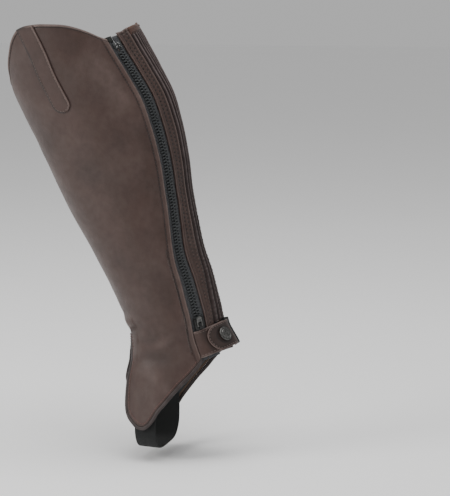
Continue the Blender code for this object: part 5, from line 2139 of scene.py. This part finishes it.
class HALFCHAP_OT_tongue(Step, Operator):
    """Model the sewn tongue below the peak."""

    bl_idname = "half_chap.tongue"
    bl_label = "Tongue"

    def execute(self, context):
        return run_step(make_tongue, context.scene.half_chap, "tongue_leather")


class HALFCHAP_OT_flap_edges(Step, Operator):
    """Model the rolled edge and the lining of the foot flaps."""

    bl_idname = "half_chap.flap_edges"
    bl_label = "Flap Edges"

    def execute(self, context):
        return run_step(make_flap_edges, context.scene.half_chap, "binding_leather", "lining_cloth")


class HALFCHAP_OT_tapes(Step, Operator):
    """Model the two woven tapes of the zip and their folded end."""

    bl_idname = "half_chap.tapes"
    bl_label = "Zip Tapes"

    def execute(self, context):
        return run_step(make_tapes, context.scene.half_chap, "zip_tape_outer_cloth", "zip_tape_inner_cloth")


class HALFCHAP_OT_teeth(Step, Operator):
    """Model the two rows of moulded teeth."""

    bl_idname = "half_chap.teeth"
    bl_label = "Zip Teeth"

    def execute(self, context):
        return run_step(make_teeth, context.scene.half_chap, "teeth_outer", "teeth_inner")


class HALFCHAP_OT_top_box(Step, Operator):
    """Model the metal box at the top of the zip."""

    bl_idname = "half_chap.top_box"
    bl_label = "Zip Box"

    def execute(self, context):
        return run_step(make_top_box, context.scene.half_chap, "box_base", "box_metal")


class HALFCHAP_OT_slider(Step, Operator):
    """Model the slider with its bridge."""

    bl_idname = "half_chap.slider"
    bl_label = "Slider"

    def execute(self, context):
        return run_step(make_slider, context.scene.half_chap, "slider_body")


class HALFCHAP_OT_pull(Step, Operator):
    """Model the pull tab that turns on the slider."""

    bl_idname = "half_chap.pull"
    bl_label = "Pull Tab"

    def execute(self, context):
        return run_step(make_pull, context.scene.half_chap, "pull_tab")


class HALFCHAP_OT_ankle_elastic(Step, Operator):
    """Model the elastic round the back of the ankle."""

    bl_idname = "half_chap.ankle_elastic"
    bl_label = "Ankle Elastic"

    def execute(self, context):
        return run_step(make_ankle_elastic, context.scene.half_chap, "ankle_elastic_cloth")


class HALFCHAP_OT_strap(Step, Operator):
    """Model the strap and the tab that close the ankle."""

    bl_idname = "half_chap.strap"
    bl_label = "Ankle Strap"

    def execute(self, context):
        return run_step(make_strap, context.scene.half_chap, "strap_leather", "tab_leather")


class HALFCHAP_OT_snap(Step, Operator):
    """Model the cap of the snap fastener."""

    bl_idname = "half_chap.snap"
    bl_label = "Snap"

    def execute(self, context):
        return run_step(make_snap, context.scene.half_chap, "snap_dome", "snap_beads")


class HALFCHAP_OT_underfoot_strap(Step, Operator):
    """Model the elastic under the foot."""

    bl_idname = "half_chap.underfoot_strap"
    bl_label = "Underfoot Strap"

    def execute(self, context):
        return run_step(make_underfoot_strap, context.scene.half_chap, "underfoot_elastic")


class HALFCHAP_OT_stitching(Step, Operator):
    """Model all the rows of stitches."""

    bl_idname = "half_chap.stitching"
    bl_label = "Stitching"

    def execute(self, context):
        return run_step(make_stitching, context.scene.half_chap, "rim_stitches", "flap_stitches")


class HALFCHAP_OT_stage(Step, Operator):
    """Set up the floor, the light and the camera."""

    bl_idname = "half_chap.stage"
    bl_label = "Stage"

    def execute(self, context):
        return run_step(make_stage, context.scene.half_chap_stage, "floor", "camera")


OPERATORS = (
    HALFCHAP_OT_main_panel,
    HALFCHAP_OT_pleats,
    HALFCHAP_OT_facing,
    HALFCHAP_OT_pleat_band,
    HALFCHAP_OT_tongue,
    HALFCHAP_OT_flap_edges,
    HALFCHAP_OT_tapes,
    HALFCHAP_OT_teeth,
    HALFCHAP_OT_top_box,
    HALFCHAP_OT_slider,
    HALFCHAP_OT_pull,
    HALFCHAP_OT_ankle_elastic,
    HALFCHAP_OT_strap,
    HALFCHAP_OT_snap,
    HALFCHAP_OT_underfoot_strap,
    HALFCHAP_OT_stitching,
    HALFCHAP_OT_stage,
)


class HALFCHAP_PT_panel(Panel):
    """Lists the steps that model the half chap."""

    bl_idname = "HALFCHAP_PT_panel"
    bl_label = "Half Chap"
    bl_space_type = "VIEW_3D"
    bl_region_type = "UI"
    bl_category = "Half Chap"

    def draw(self, context):
        for group in ("half_chap", "half_chap_colours", "half_chap_stage"):
            settings = getattr(context.scene, group)
            box = self.layout.box()
            for name in settings.__annotations__:
                box.prop(settings, name)
        for step in OPERATORS:
            self.layout.operator(step.bl_idname)


CLASSES = (HalfChapSizes, HalfChapColours, HalfChapStage, *OPERATORS, HALFCHAP_PT_panel)


def register():
    for item in CLASSES:
        bpy.utils.register_class(item)
    bpy.types.Scene.half_chap = PointerProperty(type=HalfChapSizes)
    bpy.types.Scene.half_chap_colours = PointerProperty(type=HalfChapColours)
    bpy.types.Scene.half_chap_stage = PointerProperty(type=HalfChapStage)


def unregister():
    del bpy.types.Scene.half_chap_stage
    del bpy.types.Scene.half_chap_colours
    del bpy.types.Scene.half_chap
    for item in reversed(CLASSES):
        bpy.utils.unregister_class(item)


def main():
    register()
    bpy.ops.half_chap.main_panel()
    bpy.ops.half_chap.pleats()
    bpy.ops.half_chap.facing()
    bpy.ops.half_chap.pleat_band()
    bpy.ops.half_chap.tongue()
    bpy.ops.half_chap.flap_edges()
    bpy.ops.half_chap.tapes()
    bpy.ops.half_chap.teeth()
    bpy.ops.half_chap.top_box()
    bpy.ops.half_chap.slider()
    bpy.ops.half_chap.pull()
    bpy.ops.half_chap.ankle_elastic()
    bpy.ops.half_chap.strap()
    bpy.ops.half_chap.snap()
    bpy.ops.half_chap.underfoot_strap()
    bpy.ops.half_chap.stitching()
    bpy.ops.half_chap.stage()


if __name__ == "__main__":
    main()
